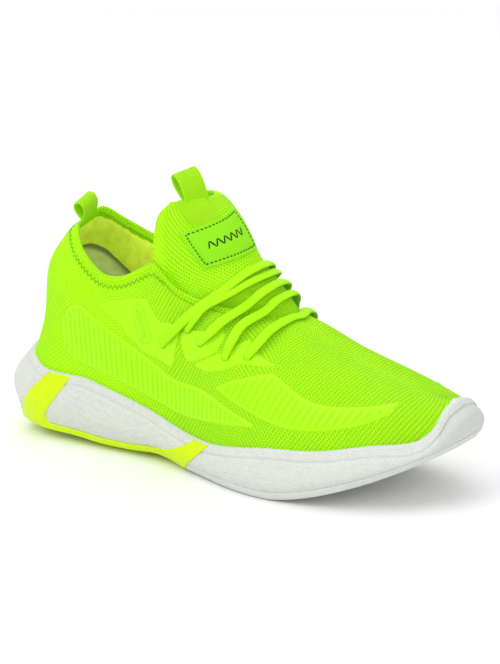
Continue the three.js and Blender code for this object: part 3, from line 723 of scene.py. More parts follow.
def build_upper():
    columns, rows = 420, 72
    c = by_row(0, 24, columns + 1)
    v = (np.linspace(0, 1, rows + 1) ** 0.9)[None, :]
    half = half_column(c)
    collar = half < COLLAR
    rim_roll = np.where(collar, 0.9 * smooth((v - 0.955) / 0.03) * (1 - under_loop(half)), 0)
    outer, inner = shoe_skin(c, v, rim_roll), shoe_skin(c, v, -KNIT)
    lengths = arc_uv(outer, from_top=True)
    lateral = slice(columns // 2 + 1)
    lengths[..., 0] = np.interp(half, c[lateral, 0], arc_uv(outer[lateral])[:, 0, 0])
    tone = upper_openness(c, v)
    mesh = Mesh().grid(outer, lengths, tone=tone).grid(inner, lengths, tone=tone)
    mesh.rim((outer[:, 0], outer[:, 1]), (inner[:, 0], inner[:, 1]), lengths[:, 0], tone=tone[:, 0])
    open_part = np.flatnonzero(collar[:, 0])
    for part in np.split(open_part, np.flatnonzero(np.diff(open_part) > 1) + 1):
        ends = np.append(part, part[-1] + 1) if part[0] == 0 else np.insert(part, 0, part[0] - 1)
        edges = [(sheet[ends, -1], sheet[ends, -2]) for sheet in (outer, inner)]
        mesh.rim(*edges, lengths[ends, -1], tone=0.2)
    return place(mesh.make("knit_upper", "knit"), "upper_rear", "upper_front", body="foot")


def rim_curve(depth, below):
    """Points that far below the collar rim, from the lateral throat round the heel to the medial one."""
    c = np.linspace(-6.6, 6.6, 1400)
    tall = np.linalg.norm(skin_point(c, 1.0) - skin_point(c, 0.9), axis=-1) / 0.1
    v = 1 - below / tall
    return c, v, shoe_skin(c, v, depth)


def build_collar_stitches():
    """A zigzag round the collar that goes on as a straight row beside the throat."""
    pitch, zigzag_end = 1.55, 4.6
    c, v, high = rim_curve(0.15, 3.6)
    low = rim_curve(0.1, 6.2)[2]
    length = lengths_to(high)
    spots = np.searchsorted(length, np.arange(pitch / 2, length[-1], pitch))
    starts, ends, normals = [], [], []
    for count, (i, j) in enumerate(zip(spots, spots[1:])):
        a, b = (high[i], low[j]) if count % 2 else (low[i], high[j])
        if abs(c[i]) > zigzag_end:
            a, b = high[i], high[j]
        starts.append(a)
        ends.append(mix(a, b, 0.86))
        normals.append(skin_normal(c[i], v[i]))
    piece = stitches("collar_stitches", starts, ends, normals, 0.75, "thread")
    return place(piece)


def build_binding():
    """The ribbed folded edge inside the rim."""
    steps, tall = 420, 84  # tall is the height of the knit at the collar
    c = by_row(-LINED - 0.4, LINED + 0.4, steps)
    turn = by_point(0, 2 * math.pi, 15)
    ribs = 0.16 * np.sin(np.arange(steps) * 2 * math.pi / 3.5)[:, None]
    radius = (1.5 + ribs) * (1 - 0.6 * under_loop(c))
    v = 0.985 + radius * np.sin(turn) / tall
    points = shoe_skin(c, np.minimum(v, 1.0), -KNIT + 0.1 + radius * np.cos(turn))
    points[..., 2] += np.maximum(v - 1.0, 0) * tall
    mesh = Mesh().grid(points)
    for end in (points[0], points[-1]):
        mesh.fan(end, end.mean(axis=0))
    return place(mesh.make("rim_binding", "binding"), "collar_binding")


# ---- linings ----
LINING_OUTER = -KNIT - 0.4


def seam(c):
    """The v of the seam between the grey lining and the padded one: an arch, highest at the heel."""
    return 0.74 - 0.3 * smooth((np.abs(c) - 1.4) / 2.6)


def build_heel_lining():
    low, tall = 0.03, 75  # the v of its lower edge, and the height of the knit round the heel
    c = by_row(-LINED - 0.8, LINED + 0.8, 150)
    arc = seam(c) + low
    v = mix(low, arc, by_point(0, 1, 28))
    swell = 1.6 * np.sin(math.pi * np.clip((v - low) / arc, 0, 1)) ** 0.5
    tone = smooth((4.2 - (arc - v) * tall) / 1.2)  # the seam is darker
    inner, outer = shoe_skin(c, v, LINING_OUTER - 2.0 - swell), shoe_skin(c, v, LINING_OUTER - 0.4)
    mesh = Mesh().shell(inner, outer, tone=tone)
    return place(mesh.make("heel_lining_pad", "grey"), "heel_lining", "heel_counter")


def simulate_padding(piece, cap):
    """Inflates a pad a little as cloth, on a voxel copy, with each point held within cap millimetres."""
    bpy.context.view_layer.objects.active = piece
    remesh = piece.modifiers.new("Voxels", "REMESH")
    remesh.mode, remesh.voxel_size, remesh.use_smooth_shade = "VOXEL", 0.0019, True
    bpy.ops.object.modifier_apply(modifier=remesh.name)
    count = len(piece.data.vertices) * 3
    before = np.zeros(count)
    piece.data.vertices.foreach_get("co", before)
    cloth = piece.modifiers.new("Padding", "CLOTH")
    cloth.settings.use_pressure, cloth.settings.uniform_pressure_force = True, 4.0
    cloth.settings.effector_weights.gravity = 0
    cloth.settings.quality = 5
    for number in range(1, 21):
        bpy.context.scene.frame_set(number)
    shape = piece.evaluated_get(bpy.context.evaluated_depsgraph_get()).data
    after = np.zeros(count)
    shape.vertices.foreach_get("co", after)
    piece.modifiers.remove(cloth)
    moved = (after - before).reshape(-1, 3)
    far = np.linalg.norm(moved, axis=-1, keepdims=True)
    moved *= np.minimum(1, cap / 1000 / np.maximum(far, 1e-9))
    piece.data.vertices.foreach_set("co", before + moved.ravel())
    piece.data.update()
    bpy.context.scene.frame_set(1)
    relax = piece.modifiers.new("Relax", "SMOOTH")
    relax.factor, relax.iterations = 0.5, 6
    bpy.ops.object.modifier_apply(modifier=relax.name)
    finer = piece.modifiers.new("Finer", "SUBSURF")
    finer.levels = finer.render_levels = 1
    bpy.ops.object.modifier_apply(modifier=finer.name)
    piece.data.shade_smooth()
    return piece


def build_collar_lining():
    c = by_row(-LINED - 0.8, LINED + 0.8, 170)
    t = by_point(0, 1, 32)
    v = mix(seam(c), 0.965, t)
    swell = 2.6 * np.sin(math.pi * np.clip(t * 1.02, 0, 1)) ** 0.7
    mesh = Mesh().shell(shoe_skin(c, v, LINING_OUTER - 1.6 - swell), shoe_skin(c, v, LINING_OUTER + 0.3))
    piece = simulate_padding(mesh.make("collar_lining_pad", "olive"), 0.8)
    return place(piece, "collar_lining")


# ---- film overlays: the lower and the upper edge of each, as (station, height) ----
QUARTER_RIBS = {
    "lower": [(44, 55), (50, 49), (62, 45.5), (84, 40), (108, 33.5), (130, 29.5), (156, 31.5), (181, 35)],
    "upper": [
        (44, 70), (50, 79), (57, 81.5), (71, 74.5), (96, 61.5), (120, 50), (143, 48), (169, 40), (181, 36.5)
    ],
}
FOREFOOT_RIBS = {
    "lower": [(155, 50.5), (169, 45), (193, 38.5), (210, 37.3), (228, 39.5), (243, 43.5), (253, 48.5)],
    "upper": [
        (155, 52), (165, 57), (186, 62.6), (195, 59.3), (207, 53.5), (220, 50.5), (240, 51), (253, 52.5)
    ],
}
REAR_WING = {
    "lower": [(72, 82.5), (83, 76.5), (100, 61.5), (114, 57.8), (122, 57.4), (126, 74)],
    "upper": [(72, 84), (83, 88), (103, 91), (108, 84.4), (113, 80), (119, 80.5), (126, 80)],
}
MIDDLE_STAY = {
    "lower": [(127.5, 74), (132, 62.5), (145, 65.8), (152, 70), (156, 76)],
    "upper": [(127.5, 77), (131, 79.3), (143, 79.8), (153, 82.5), (156, 79)],
}
FRONT_STAY = {
    "lower": [(139, 60.2), (146, 58.6), (158, 61.4), (168, 65.5), (178, 65.5), (186, 65.8)],
    "upper": [(139, 61.6), (151, 68), (159, 72), (165, 76.7), (170, 77), (175, 72), (182, 68.4), (186, 67)],
}
FILM_THICK = 0.6


# A relief gives the film's height at (x, z), as a share of its thickness, and how dark it is there: painted
# shade in its grooves.
def rib_relief(pitch, lean):
    """Raised ribs that lean by lean millimetres of station per millimetre of height."""

    def relief(x, z, edge):
        wave = 0.5 + 0.5 * np.cos(2 * math.pi * (x - lean * z) / pitch)
        inside = smooth((edge - 1.2) / 1.5)
        return 1 + 0.9 * inside * (wave**0.8 - 0.35), 0.6 * inside * (1 - wave)

    return relief


def plain_relief(x, z, edge):
    return np.ones(x.shape), np.zeros(x.shape)


def wing_relief(x, z, edge):
    """Smooth film with a raised oval ring."""
    end_a, end_b = np.array([98.4, 83.5]), np.array([102.9, 70.3])
    spot = np.stack([x, z], axis=-1)
    line = end_b - end_a
    t = np.clip((spot - end_a) @ line / (line @ line), 0, 1)
    far = np.linalg.norm(spot - (end_a + t[..., None] * line), axis=-1)
    groove = bell(far, 4.0, 0.6) + 0.8 * (far < 1.9)
    return 1 + 0.9 * bell(far, 2.6, 0.75) - 0.35 * groove, 0.7 * np.clip(groove, 0, 1)


def build_film(name, sign, outline, columns, rows, relief, nodes):
    bottom, top = through(outline["lower"]), through(outline["upper"])
    first, last = outline["lower"][0][0], outline["lower"][-1][0]
    climb = by_point(0, 1, rows + 1)
    x = by_row(first, last, columns + 1) + 0 * climb
    low, high = bottom(x), np.maximum(top(x), bottom(x) + 0.4)
    z = mix(low, high, mix(climb, smooth(climb), 0.35))
    edge = np.minimum(np.minimum(z - low, high - z), np.minimum(x - first, last - x))
    height, tone = relief(x, z, edge)
    for row in LACE_ROWS:
        eyelet_x, eyelet_z = row["skin"][0]
        far = np.hypot(x - eyelet_x, z - eyelet_z)
        height = height + 0.8 * bell(far, 3.1, 0.9) - 1.2 * smooth(2.6 - far)
    rise = smooth(edge / 1.4 + 0.15)
    c, v = skin_at(x, z)
    c = c if sign < 0 else 24 - c
    outer = shoe_skin(c, v, FILM_THICK * height * rise + 0.05)
    inner = shoe_skin(c, v, -0.25)
    mesh = Mesh().shell(outer, inner, tone=tone, roundness=0.1)
    return place(mesh.make(name, "film"), *nodes, body="foot")


FILMS = [  # name, outline, columns, rows, relief, nodes
    ("quarter", QUARTER_RIBS, 330, 30, rib_relief(3.5, 0.0), ["quarter_ribs"]),
    ("forefoot", FOREFOOT_RIBS, 240, 26, rib_relief(4.3, 0.45),
     ["forefoot_ribs_rear", "forefoot_ribs_front"]),
    ("rear_wing", REAR_WING, 100, 50, wing_relief, ["rear_wing"]),
    ("middle_eyestay", MIDDLE_STAY, 60, 36, plain_relief, ["middle_eyestay"]),
    ("front_eyestay", FRONT_STAY, 90, 30, plain_relief, ["front_eyestay"]),
]


def build_films():
    for side_name, sign in (("lateral", -1), ("medial", 1)):
        for name, outline, columns, rows, relief, nodes in FILMS:
            nodes = [f"{node}_{side_name}" for node in nodes]
            build_film(f"film_{name}_{side_name}", sign, outline, columns, rows, relief, nodes)


def build_backstay():
    c = by_row(-0.34, 0.34, 12)
    v = by_point(0.24, 0.95, 60)
    mesh = Mesh().shell(shoe_skin(c, v, 1.1), shoe_skin(c, v, 0.0))
    return place(mesh.make("heel_backstay_strip", "backstay"), "heel_backstay")


# ---- sole ----
def lip_point(c, extra=0.0):
    z = lip_z(half_column(c))
    p = skin_point(c, height_to_v(c, z)) + outward(c) * (lip_wall(half_column(c)) + extra)[..., None]
    p[..., 2] = z
    return p


WAIST = 0.38  # the wall's t where it is widest


def wall_lines(c):
    h = half_column(c)
    low = plan_in(c, bottom_inset(h))
    low[..., 2] = ground_z(low[..., 0]) + edge_rise(h)
    wide = plan(c)
    wide[..., 2] = mix(ground_z(wide[..., 0]) + edge_rise(h), lip_z(h), waist(h))
    return low, wide, lip_point(c)


def wall(c, t):
    """The side wall of the sole: t climbs from the ground edge (0) to the lip (1)."""
    c = np.asarray(c, float)
    low, wide, high = (np.broadcast_to(p, c.shape + (3,)) for p in wall_lines(c))
    t = np.broadcast_to(t, c.shape)[..., None]
    rise = high - low
    lower = hermite(np.clip(t / WAIST, 0, 1), low, wide, wide - low, WAIST * rise)
    upper = hermite(np.clip((t - WAIST) / (1 - WAIST), 0, 1), wide, high, (1 - WAIST) * rise, high - wide)
    return np.where(t < WAIST, lower, upper)


def layer_height(c):
    """Height of the bottom layer over the wall's ground edge."""
    return OUTSOLE - 0.3 * edge_rise(half_column(c))


def under_the_edge(under, c, deep):
    """Lets a grid across the underside sink from the raised edge to the ground."""
    under[..., 2] -= edge_rise(half_column(c))[:, None] * smooth(deep / 7)


def t_at(c, height):
    """The t at which the wall stands height millimetres above its ground edge."""
    low, wide, high = wall_lines(c)
    waist = wide[..., 2] - low[..., 2]
    above = WAIST + (1 - WAIST) * (height - waist) / (high - wide)[..., 2]
    return np.where(height < waist, WAIST * height / waist, above)


def side_to_side(ring, pairs, count):
    """A grid from one side of a ring of points to the other, and how far inside the ring its points lie."""
    a, b = ring[:pairs], ring[::-1][:pairs]
    q = by_point(0, 1, count)
    inside = np.minimum(q, 1 - q) * np.linalg.norm(b - a, axis=-1)[:, None]
    return mix(a[:, None], b[:, None], q[..., None]), inside


def honeycomb(x, y, pitch):
    """Height of a staggered pattern of rounded cells."""
    tall = pitch * math.sqrt(3)

    def lattice(offset):
        a = ((x / pitch + offset) % 1 - 0.5) * pitch
        b = ((y / tall + offset) % 1 - 0.5) * tall
        return np.hypot(a, b)

    return np.clip(1 - np.minimum(lattice(0), lattice(0.5)) / (pitch * 0.58), 0, 1)


def crackle(x, z):
    """Wavy moulded cells, as on the side of the heel."""
    along = x + 2.2 * np.sin(z * 0.55) + 1.2 * np.sin(x * 0.21 + z * 0.3)
    up = z + 1.6 * np.sin(x * 0.33) + 0.8 * np.sin(x * 0.71 + 1)
    return honeycomb(along, up, 5.2)


def midsole_relief(c, t, flat):
    """How far the side of the foam stands out, and the tone of its textures."""
    h = half_column(c)
    x, z = flat[..., 0], flat[..., 2]
    below_lip, above = flat[:, -1:, 2] - z, z - flat[:, :1, 2]
    toe = smooth((h - 10.1) / 0.5)
    band_width = mix(4.2, 2.6, smooth((h - 9.6) / 1.2))
    band = smooth((band_width - below_lip) / 0.8)
    groove = bell(below_lip, band_width + 0.7, 0.7)
    body = (1 - band) * smooth(above / 1.5)
    rear_lines = smooth((1.6 - h) / 0.2) * (0.5 + 0.5 * np.sin(plan_arc(c) * 2 * math.pi / 2.4))
    panel = smooth((h - 2.5) / 0.2) * smooth((4.9 - h) / 0.2) * crackle(x, z)
    scales = smooth((h - 5.3) / 0.4) * (1 - toe) * honeycomb(plan_arc(c) + 0 * z, z, 2.6)
    texture = body * (0.25 * rear_lines + 0.55 * panel + 0.30 * scales - 0.5 * toe)
    blunt_toe = smooth((h - 10.6) / 0.9) * (0.7 * bell(t, 0.72, 0.14) - 1.8 * bell(t, WAIST, 0.13))
    bottom_round = -0.12 * (1 - smooth(above / 0.8))
    tone = (smooth((5.2 - h) / 0.3) + 2.0 * toe * body) * body
    return 0.35 * band - 0.55 * groove + texture + blunt_toe + bottom_round, tone


def build_midsole():
    c = by_row(0, 24, 841)
    t = mix(t_at(c, layer_height(c) + 0.1), 1.0, by_point(0, 1, 44))
    flat = wall(c + 0 * t, t)
    relief, tone = midsole_relief(c, t, flat)
    outer = flat + outward(c) * relief[..., None]
    mesh = Mesh().grid(outer, np.stack([plan_arc(c) + 0 * t, flat[..., 2]], axis=-1), tone=tone)
    lip = outer[:, -1]
    inside = lip_point(c[:, 0], -lip_wall(half_column(c[:, 0])) - 1.2)
    inside[..., 2] = lip[..., 2] - 0.2
    crest, lead = mix(lip, inside, 0.5), mix(lip, inside, 0.12)
    crest[..., 2] = lip[..., 2] + 0.8
    lead[..., 2] = lip[..., 2] + 0.5
    floor = shoe_skin(c[:, 0], 0.0, -1.5)
    floor[..., 2] = np.minimum(footbed_z(floor[..., 0]), inside[..., 2] - 1)
    mesh.grid(np.stack([lip, lead, crest, inside, floor], axis=1))
    pairs = len(c) // 2
    for ring in (floor, outer[:, 0]):
        mesh.grid(side_to_side(ring, pairs, 2)[0])
    piece = mesh.make("foam_midsole", "foam", joined=0.02)
    return place(piece, "midsole_rear", "midsole_front", body="foot")


_columns = np.linspace(0, 24, 2001)
_plan_lengths = lengths_to(plan(_columns))


def plan_arc(c):
    """Length round the sole from the heel to column c."""
    return np.interp(np.asarray(c, float), _columns, _plan_lengths)


CRADLE_C = 4.82  # the cradle's last column, where the forefoot's outsole begins
LEGS = [(1.55, 2.2, 7.0), (4.42, 4.8, 19.0)]  # columns of each leg's two edges at its foot, and its fillet
LEG_TALL = 54  # the shear below is how many columns a leg this tall would lean
leg_shear = through([(0, 0), (1.2, 0.85), (1.55, 1.2), (2.2, 0.8), (3.3, 0.8), (4.0, 1.86), (4.8, 1.86)])


def tread(x, y, forefoot):
    """Depth of the tread's grooves: angled lugs."""
    bend = np.abs(y) * 0.5
    bars = np.abs(((x + bend) / 11.0) % 1 - 0.5) * 11.0
    lanes = np.abs((y / 14.0 + 0.5) % 1 - 0.5) * 14.0
    cut = np.maximum(smooth((1.3 - bars) / 0.7), smooth((0.9 - lanes) / 0.6))
    return 1.2 * cut * forefoot


def build_outsole():
    """The white rubber under the forefoot: a grid across the underside with side walls up to the foam."""
    c = np.linspace(CRADLE_C + 0.03, 24 - CRADLE_C - 0.03, 460)
    climb = by_point(0, 1, 8)
    t = climb * t_at(c, layer_height(c))[:, None]
    outer = wall(c[:, None] + 0 * t, t)
    outer = outer + outward(c)[:, None] * (0.35 * np.sin(math.pi * climb) - 0.12)[..., None]
    mesh = Mesh().grid(outer, np.stack([plan_arc(c)[:, None] + 0 * t, outer[..., 2]], axis=-1))
    pairs = len(c) // 2
    under, edge = side_to_side(outer[:, 0], pairs, 90)
    under[..., 2] += tread(under[..., 0], under[..., 1], smooth((edge - 3) / 2))
    under_the_edge(under, c[:pairs], edge)
    mesh.grid(under)
    mesh.grid(side_to_side(outer[:, -1], pairs, 2)[0])
    mesh.strip(outer[0], outer[-1])
    piece = mesh.make("rubber_outsole", "tread", joined=0.02)
    return place(piece, "outsole_rear", "outsole_front", body="foot")


def cradle_height(c):
    """Height of the cradle at column c: a low band, with two legs of full height that spread at the foot."""
    along = plan_arc(np.abs(c))
    band = layer_height(c)
    height = band
    for low, high, fillet in LEGS:
        outside = np.maximum(plan_arc(low) - along, along - plan_arc(high))
        curve = fillet - np.sqrt(np.maximum(fillet**2 - (fillet - np.clip(outside, 0, fillet)) ** 2, 0))
        height = np.where(outside <= 0, LEG_TALL, np.maximum(height, band + curve))
    return height


PLUG_X, PLUG_Y = (31, 103.5), (-18, 15.5)  # the plug of tread in the cradle's recess


def build_cradle():
    """The yellow rubber: a U round the heel with a sheet under it that holds the plug."""
    edges = np.array([edge for leg in LEGS for edge in leg[:2]])
    base = np.unique(np.concatenate([np.linspace(0, CRADLE_C, 330), edges - 0.004, edges + 0.004]))
    c = np.concatenate([-base[:0:-1], base])[:, None]
    height, climb = cradle_height(c), by_point(0, 1, 30)
    shear = leg_shear(np.abs(c)) * np.sign(c)
    spot = c
    for _ in range(4):
        low, _, high = wall_lines(spot[:, :1])
        rise = np.minimum(height, (high - low)[..., 2] + 0.15) * climb
        spot = c + shear * rise / LEG_TALL
    flat = wall(spot, np.minimum(t_at(spot, rise), 1.0))
    proud = 0.75 * smooth(np.minimum(rise[:, -1:] - rise, 3) / 0.9 + 0.25)
    outer = flat + outward(spot) * proud[..., None]
    outer[..., 0, :] = flat[..., 0, :]
    inner = flat - outward(spot)
    uv = np.stack([plan_arc(spot + 24 * (spot < 0)), rise], axis=-1)
    mesh = Mesh().grid(outer, uv).grid(inner, uv)
    for border in (np.s_[:, -1], np.s_[0], np.s_[-1]):
        mesh.strip(outer[border], inner[border])
    pairs = (len(c) + 1) // 2
    under, deep = side_to_side(outer[:, 0], pairs, 60)
    x, y = under[..., 0], under[..., 1]
    lengthwise = smooth((x - PLUG_X[0] + 1.5) / 0.8) * smooth((PLUG_X[1] + 1 - x) / 0.8)
    recess = 1.6 * smooth((deep - 11) / 0.8) * lengthwise
    under[..., 2] += 0.5 * smooth((deep - 2) / 2) * honeycomb(x, y, 6.0) + recess
    under_the_edge(under, c[:pairs, 0], deep)
    mesh.grid(under)
    raised = inner[:, 0] + np.array([0, 0, 3.0])
    mesh.grid(side_to_side(raised, pairs, 2)[0])
    mesh.strip(inner[:, 0], raised)
    piece = mesh.make("rubber_cradle", "cradle", joined=0.01)
    return place(piece, "heel_cradle")


def build_heel_tread():
    """The white rubber plug under the heel, with bars across it."""
    x, y = by_row(*PLUG_X, 110), by_point(*PLUG_Y, 50)
    narrow = y * (1 - 0.18 * smooth((35 - x) / 5) - 0.12 * smooth((x - 99) / 5))
    z = ground_z(x) + 0 * narrow
    bars = np.abs((x / 9.0) % 1 - 0.5) * 9.0
    edge = np.minimum(
        np.minimum(x - PLUG_X[0], PLUG_X[1] - x), np.minimum(y - PLUG_Y[0], PLUG_Y[1] - y)
    )
    groove = smooth((1.1 - bars) / 0.6) * smooth(edge - 1.5)
    outer = np.stack([x + 0 * narrow, narrow, z + groove + 0.35 * (1 - smooth(edge))], axis=-1)
    inner = outer.copy()
    inner[..., 2] = z + 2.4
    mesh = Mesh().shell(outer, inner, roundness=0.1)
    return place(mesh.make("rubber_heel_tread", "tread"), "outsole_heel_tread")


# ---- tongue, its label and its webbing ----
def build_tongue():
    w = by_point(0.9, 8, 110)
    a = by_row(-1, 1, 130)
    edge = np.minimum((1 - np.abs(a)) * 45, (8 - w) * 13)
    puff = 0.9 * smooth(edge / 7) - 0.2
    outer = tongue_skin(w, a, puff + 0.35 * bell(edge, 2.2, 1.2) - 0.45 * bell(edge, 5.0, 0.7))
    mesh = Mesh().shell(outer, tongue_skin(w, a, -3.0), tone=0.75 * smooth((edge - 3) / 3))
    return place(mesh.make("knit_tongue", "knit"), "tongue_base", "tongue_top", body="tongue")


LABEL = [(4.1, -0.58), (4.38, 0.12), (5.9, -0.72), (6.75, 0.14)]  # corners (w, a), low pair first
STRAP = [(6.15, -0.55), (6.45, -0.22), (8.02, -0.80), (8.02, -0.26)]


def between(corners, p, q):
    """The place (w, a) at p across and q up a four-sided patch."""
    a, b, c, d = corners
    return [mix(mix(a[i], b[i], p), mix(c[i], d[i], p), q) for i in (0, 1)]


def on_label(p, q, depth):
    """A point of the label: p from lateral to medial, q from bottom to top."""
    return tongue_skin(*between(LABEL, p, q), depth)


def build_label():
    p, q = by_row(0, 1, 60), by_point(0, 1, 44)
    width, tall = 36.0, 22.0
    edge = np.minimum(np.minimum(p, 1 - p) * width, np.minimum(q, 1 - q) * tall)
    outer = on_label(p, q, 1.75 - 0.35 * bell(edge, 1.9, 0.6))
    mesh = Mesh().shell(outer, on_label(p, q, 0.3), roundness=0.35)
    place(mesh.make("label_patch", "label"), "tongue_label", body="tongue")
    border = [(t, 0.085) for t in np.linspace(0.05, 0.95, 17)]
    border += [(0.95, t) for t in np.linspace(0.085, 0.915, 11)]
    border += [(t, 0.915) for t in np.linspace(0.95, 0.05, 17)]
    border += [(0.05, t) for t in np.linspace(0.915, 0.085, 11)]
    line_stitches("label_stitches", border, 0.62, 0.75, "thread_dark")
    zigzag = [(0.20 + 0.055 * i, 0.50 + (0.10 if i % 2 else -0.10)) for i in range(12)]
    line_stitches("label_mark", zigzag, 0.98, 1.15, "mark")


def line_stitches(name, spots, share, width, look):
    """Stitches along a line of label places, each filling that share of its step."""
    spots = np.array(spots)
    here, there = spots[:-1], spots[1:]
    far = np.linalg.norm(there - here, axis=-1) > 1e-6
    here, there = here[far], there[far]
    starts = on_label(here[:, 0], here[:, 1], 1.62)
    ends = on_label(there[:, 0], there[:, 1], 1.62)
    above = on_label(here[:, 0], here[:, 1], 2.62)
    piece = stitches(name, starts, mix(starts, ends, share), unit(above - starts), width, look)
    return place(piece, body="tongue")


def build_strap():
    """The webbing sewn down the front of the tongue, from the pull loop to under the label."""
    p = by_row(0, 1, 26)
    q = by_point(0, 1, 40)
    w, a = between(STRAP, p, q)
    edge = np.minimum(p, 1 - p) * 13
    outer = tongue_skin(w, a, 1.9 + 0.25 * bell(edge, 0.8, 0.5))
    mesh = Mesh().shell(outer, tongue_skin(w, a, 0.3), arc_uv(outer)[..., ::-1], roundness=0.4)
    return place(mesh.make("webbing_strap", "webbing"), "tongue_tab_strap", body="tongue")


def webbing_loop(name, tip, up, across, height, half_depth, wide, node, body):
    """A folded loop of webbing standing on its tip, with thick woven edges."""
    up, across = unit(np.array(up, float)), unit(np.array(across, float))
    out = unit(np.cross(across, up))
    outline = [
        (0, -0.12), (-0.75, 0.3), (-1, 0.68), (-0.5, 0.97), (0.5, 0.97), (1, 0.68), (0.75, 0.3), (0, -0.12),
    ]
    flat = spline([(x * half_depth, z * height) for x, z in outline])(np.linspace(0, 1, 90))
    along = unit(np.gradient(flat, axis=0))
    facing = np.stack([along[:, 1], -along[:, 0]], axis=-1)
    facing *= np.sign(np.sum(facing * (flat - flat.mean(axis=0)), axis=-1).mean())
    q = np.linspace(-0.5, 0.5, 22)
    thick = 0.6 + 0.12 * bell(np.abs(q), 0.44, 0.03)

    def layer(depth):
        spot = flat[:, None] + facing[:, None] * depth[None, :, None]
        middle = np.array(tip, float) + spot[..., :1] * out + spot[..., 1:] * up
        return middle + q[None, :, None] * wide * across

    mesh = Mesh().shell(layer(thick), layer(-thick))
    return place(mesh.make(name, "webbing"), node, body=body)


def build_loops():
    webbing_loop(
        "webbing_tongue_loop", (122.2, -11.2, 146.2), (-0.55, 0.05, 0.83), (0.42, 0.89, 0.22),
        16.5, 3.6, 13.5, "tongue_pull_loop", "tongue_loop",
    )
    webbing_loop(
        "webbing_heel_loop", (41.4, 1, 125.3), (-0.1, -0.3, 0.95), (0, 0.95, 0.3),
        10.3, 3.3, 13, "heel_pull_loop", "heel_loop",
    )


# ---- lace ----
LACE_WIDE, LACE_THICK = 6.0, 2.4
# Each row runs over points of the skin (station, height) and then of the tongue (w, a). The first one of the
# skin is its eyelet. Proud is how far the row stands off the tongue.
LACE_ROWS = [
    {"skin": [(115, 68), (127, 80), (135, 88)],
     "tongue": [(2.95, 0.65), (3.3, 0.3), (3.45, 0)], "proud": 2.3},
    {"skin": [(132.5, 79.3), (137, 86), (140.5, 91)],
     "tongue": [(2.8, 0.58), (2.88, 0.3), (2.9, 0)], "proud": 2.5},
    {"skin": [(141.5, 73.5), (148.7, 80), (153, 85)],
     "tongue": [(2.1, 0.64), (2.2, 0.35), (2.25, 0)], "proud": 2.9},
    {"skin": [(159, 68.6), (161, 76.5), (162.8, 83)],
     "tongue": [(1.72, 0.55), (1.8, 0.3), (1.82, 0)], "proud": 3.2},
    {"skin": [(171, 69.8), (174.5, 76), (177, 81)],
     "tongue": [(1.3, 0.3), (1.25, 0)], "proud": 3.4},
]
CORE = (np.array([100.0, 0, 70]), np.array([220.0, 4, 35]))  # the line the lace stands out from


def from_core(points):
    line = CORE[1] - CORE[0]
    t = (points - CORE[0]) @ line / (line @ line)
    return unit(points - (CORE[0] + t[..., None] * line))


def lace_path(row):
    def half(sign):
        eyelet, *others = row["skin"]
        points = []
        for (x, z), depth in [(eyelet, -2.2), (eyelet, 1.3), *((spot, 2.9) for spot in others)]:
            c, v = skin_at(x, z)
            points.append(shoe_skin(c if sign < 0 else 24 - c, v, depth))
        return points + [tongue_skin(w, sign * a, row["proud"] + 1.5 * a) for w, a in row["tongue"]]

    return np.array(half(-1) + half(1)[::-1][1:])


def build_lace():
    mesh = Mesh()
    turn = by_point(0, 2 * math.pi, 19)
    t = np.linspace(0, 1, 220)
    ends = smooth(np.minimum(t, 1 - t) / 0.2)
    wide, thick = mix(0.6, 1.0, ends) * LACE_WIDE / 2, LACE_THICK / 2
    for row in LACE_ROWS:
        path = spline(lace_path(row))(t)
        along = unit(np.gradient(path, axis=0))
        n = from_core(path)
        n = unit(n - np.sum(n * along, axis=-1, keepdims=True) * along)
        across = np.cross(n, along)
        length = lengths_to(path)
        braid = 0.07 * (np.sin(length * 2 * math.pi / 2.2) * ends)[:, None] * np.cos(2 * turn)
        beside = np.sign(np.cos(turn)) * np.abs(np.cos(turn)) ** 0.8 * wide[:, None]
        above = np.sin(turn) * (1 + braid) * thick
        points = path[:, None] + across[:, None] * beside[..., None] + n[:, None] * above[..., None]
        uv = np.stack(np.broadcast_arrays(length[:, None], (turn - math.pi) * 1.4), axis=-1)
        # The tone is painted shade on the lace's sides and underside.
        mesh.grid(points, uv, tone=smooth((0.45 - np.sin(turn)) / 0.6))
        for end in (points[0], points[-1]):
            mesh.fan(end, end[:-1].mean(axis=0))
    return place(mesh.make("flat_lace", "lace"), "lace")


# ---- inside the shoe ----
def build_insole():
    """The insole in two pieces that part under the vamp: one lifts out, one bends with the forefoot."""
    for name, c, node, body in (
        ("insole_heel_part", np.linspace(-7.55, 7.55, 200), "insole_rear", "insole"),
        ("insole_toe_part", np.linspace(7.75, 16.25, 120), "insole_front", "forefoot"),
    ):
        h = half_column(c)
        edge = shoe_skin(c, 0.0, -3.8 - 5.4 * smooth((6.5 - h) / 2.5) - 3.4 * smooth(1.5 - h))
        edge[:, 2] = footbed_z(edge[:, 0]) + BOARD + GAP
        low = side_to_side(edge, len(c) // 2, 30)[0]
        high = low.copy()
        high[..., 2] += 4.0 - 0.8 * np.sin(math.pi * by_point(0, 1, 30)) ** 0.4
        mesh = Mesh().shell(high, low, roundness=0.3)
        place(mesh.make(name, "grey"), node, body=body)


def build_board():
    edge = shoe_skin(np.linspace(0, 24, 241)[1:-1], 0.0, -0.4)
    edge[:, 2] = footbed_z(edge[:, 0]) + GAP
    low = side_to_side(edge, len(edge) // 2, 16)[0]
    high = low + np.array([0, 0, BOARD - GAP])
    mesh = Mesh().shell(high, low, roundness=0.2)
    nodes = ("strobel_rear", "strobel_front")
    return place(mesh.make("strobel_board", "grey"), *nodes, body="foot")


def build_toe_puff():
    c = by_row(10.4, 13.6, 40)
    v = by_point(0.03, 0.72, 24)
    mesh = Mesh().shell(shoe_skin(c, v, -KNIT - 0.3), shoe_skin(c, v, -KNIT - 1.3))
    return place(mesh.make("toe_stiffener", "grey"), "toe_puff", body="forefoot")


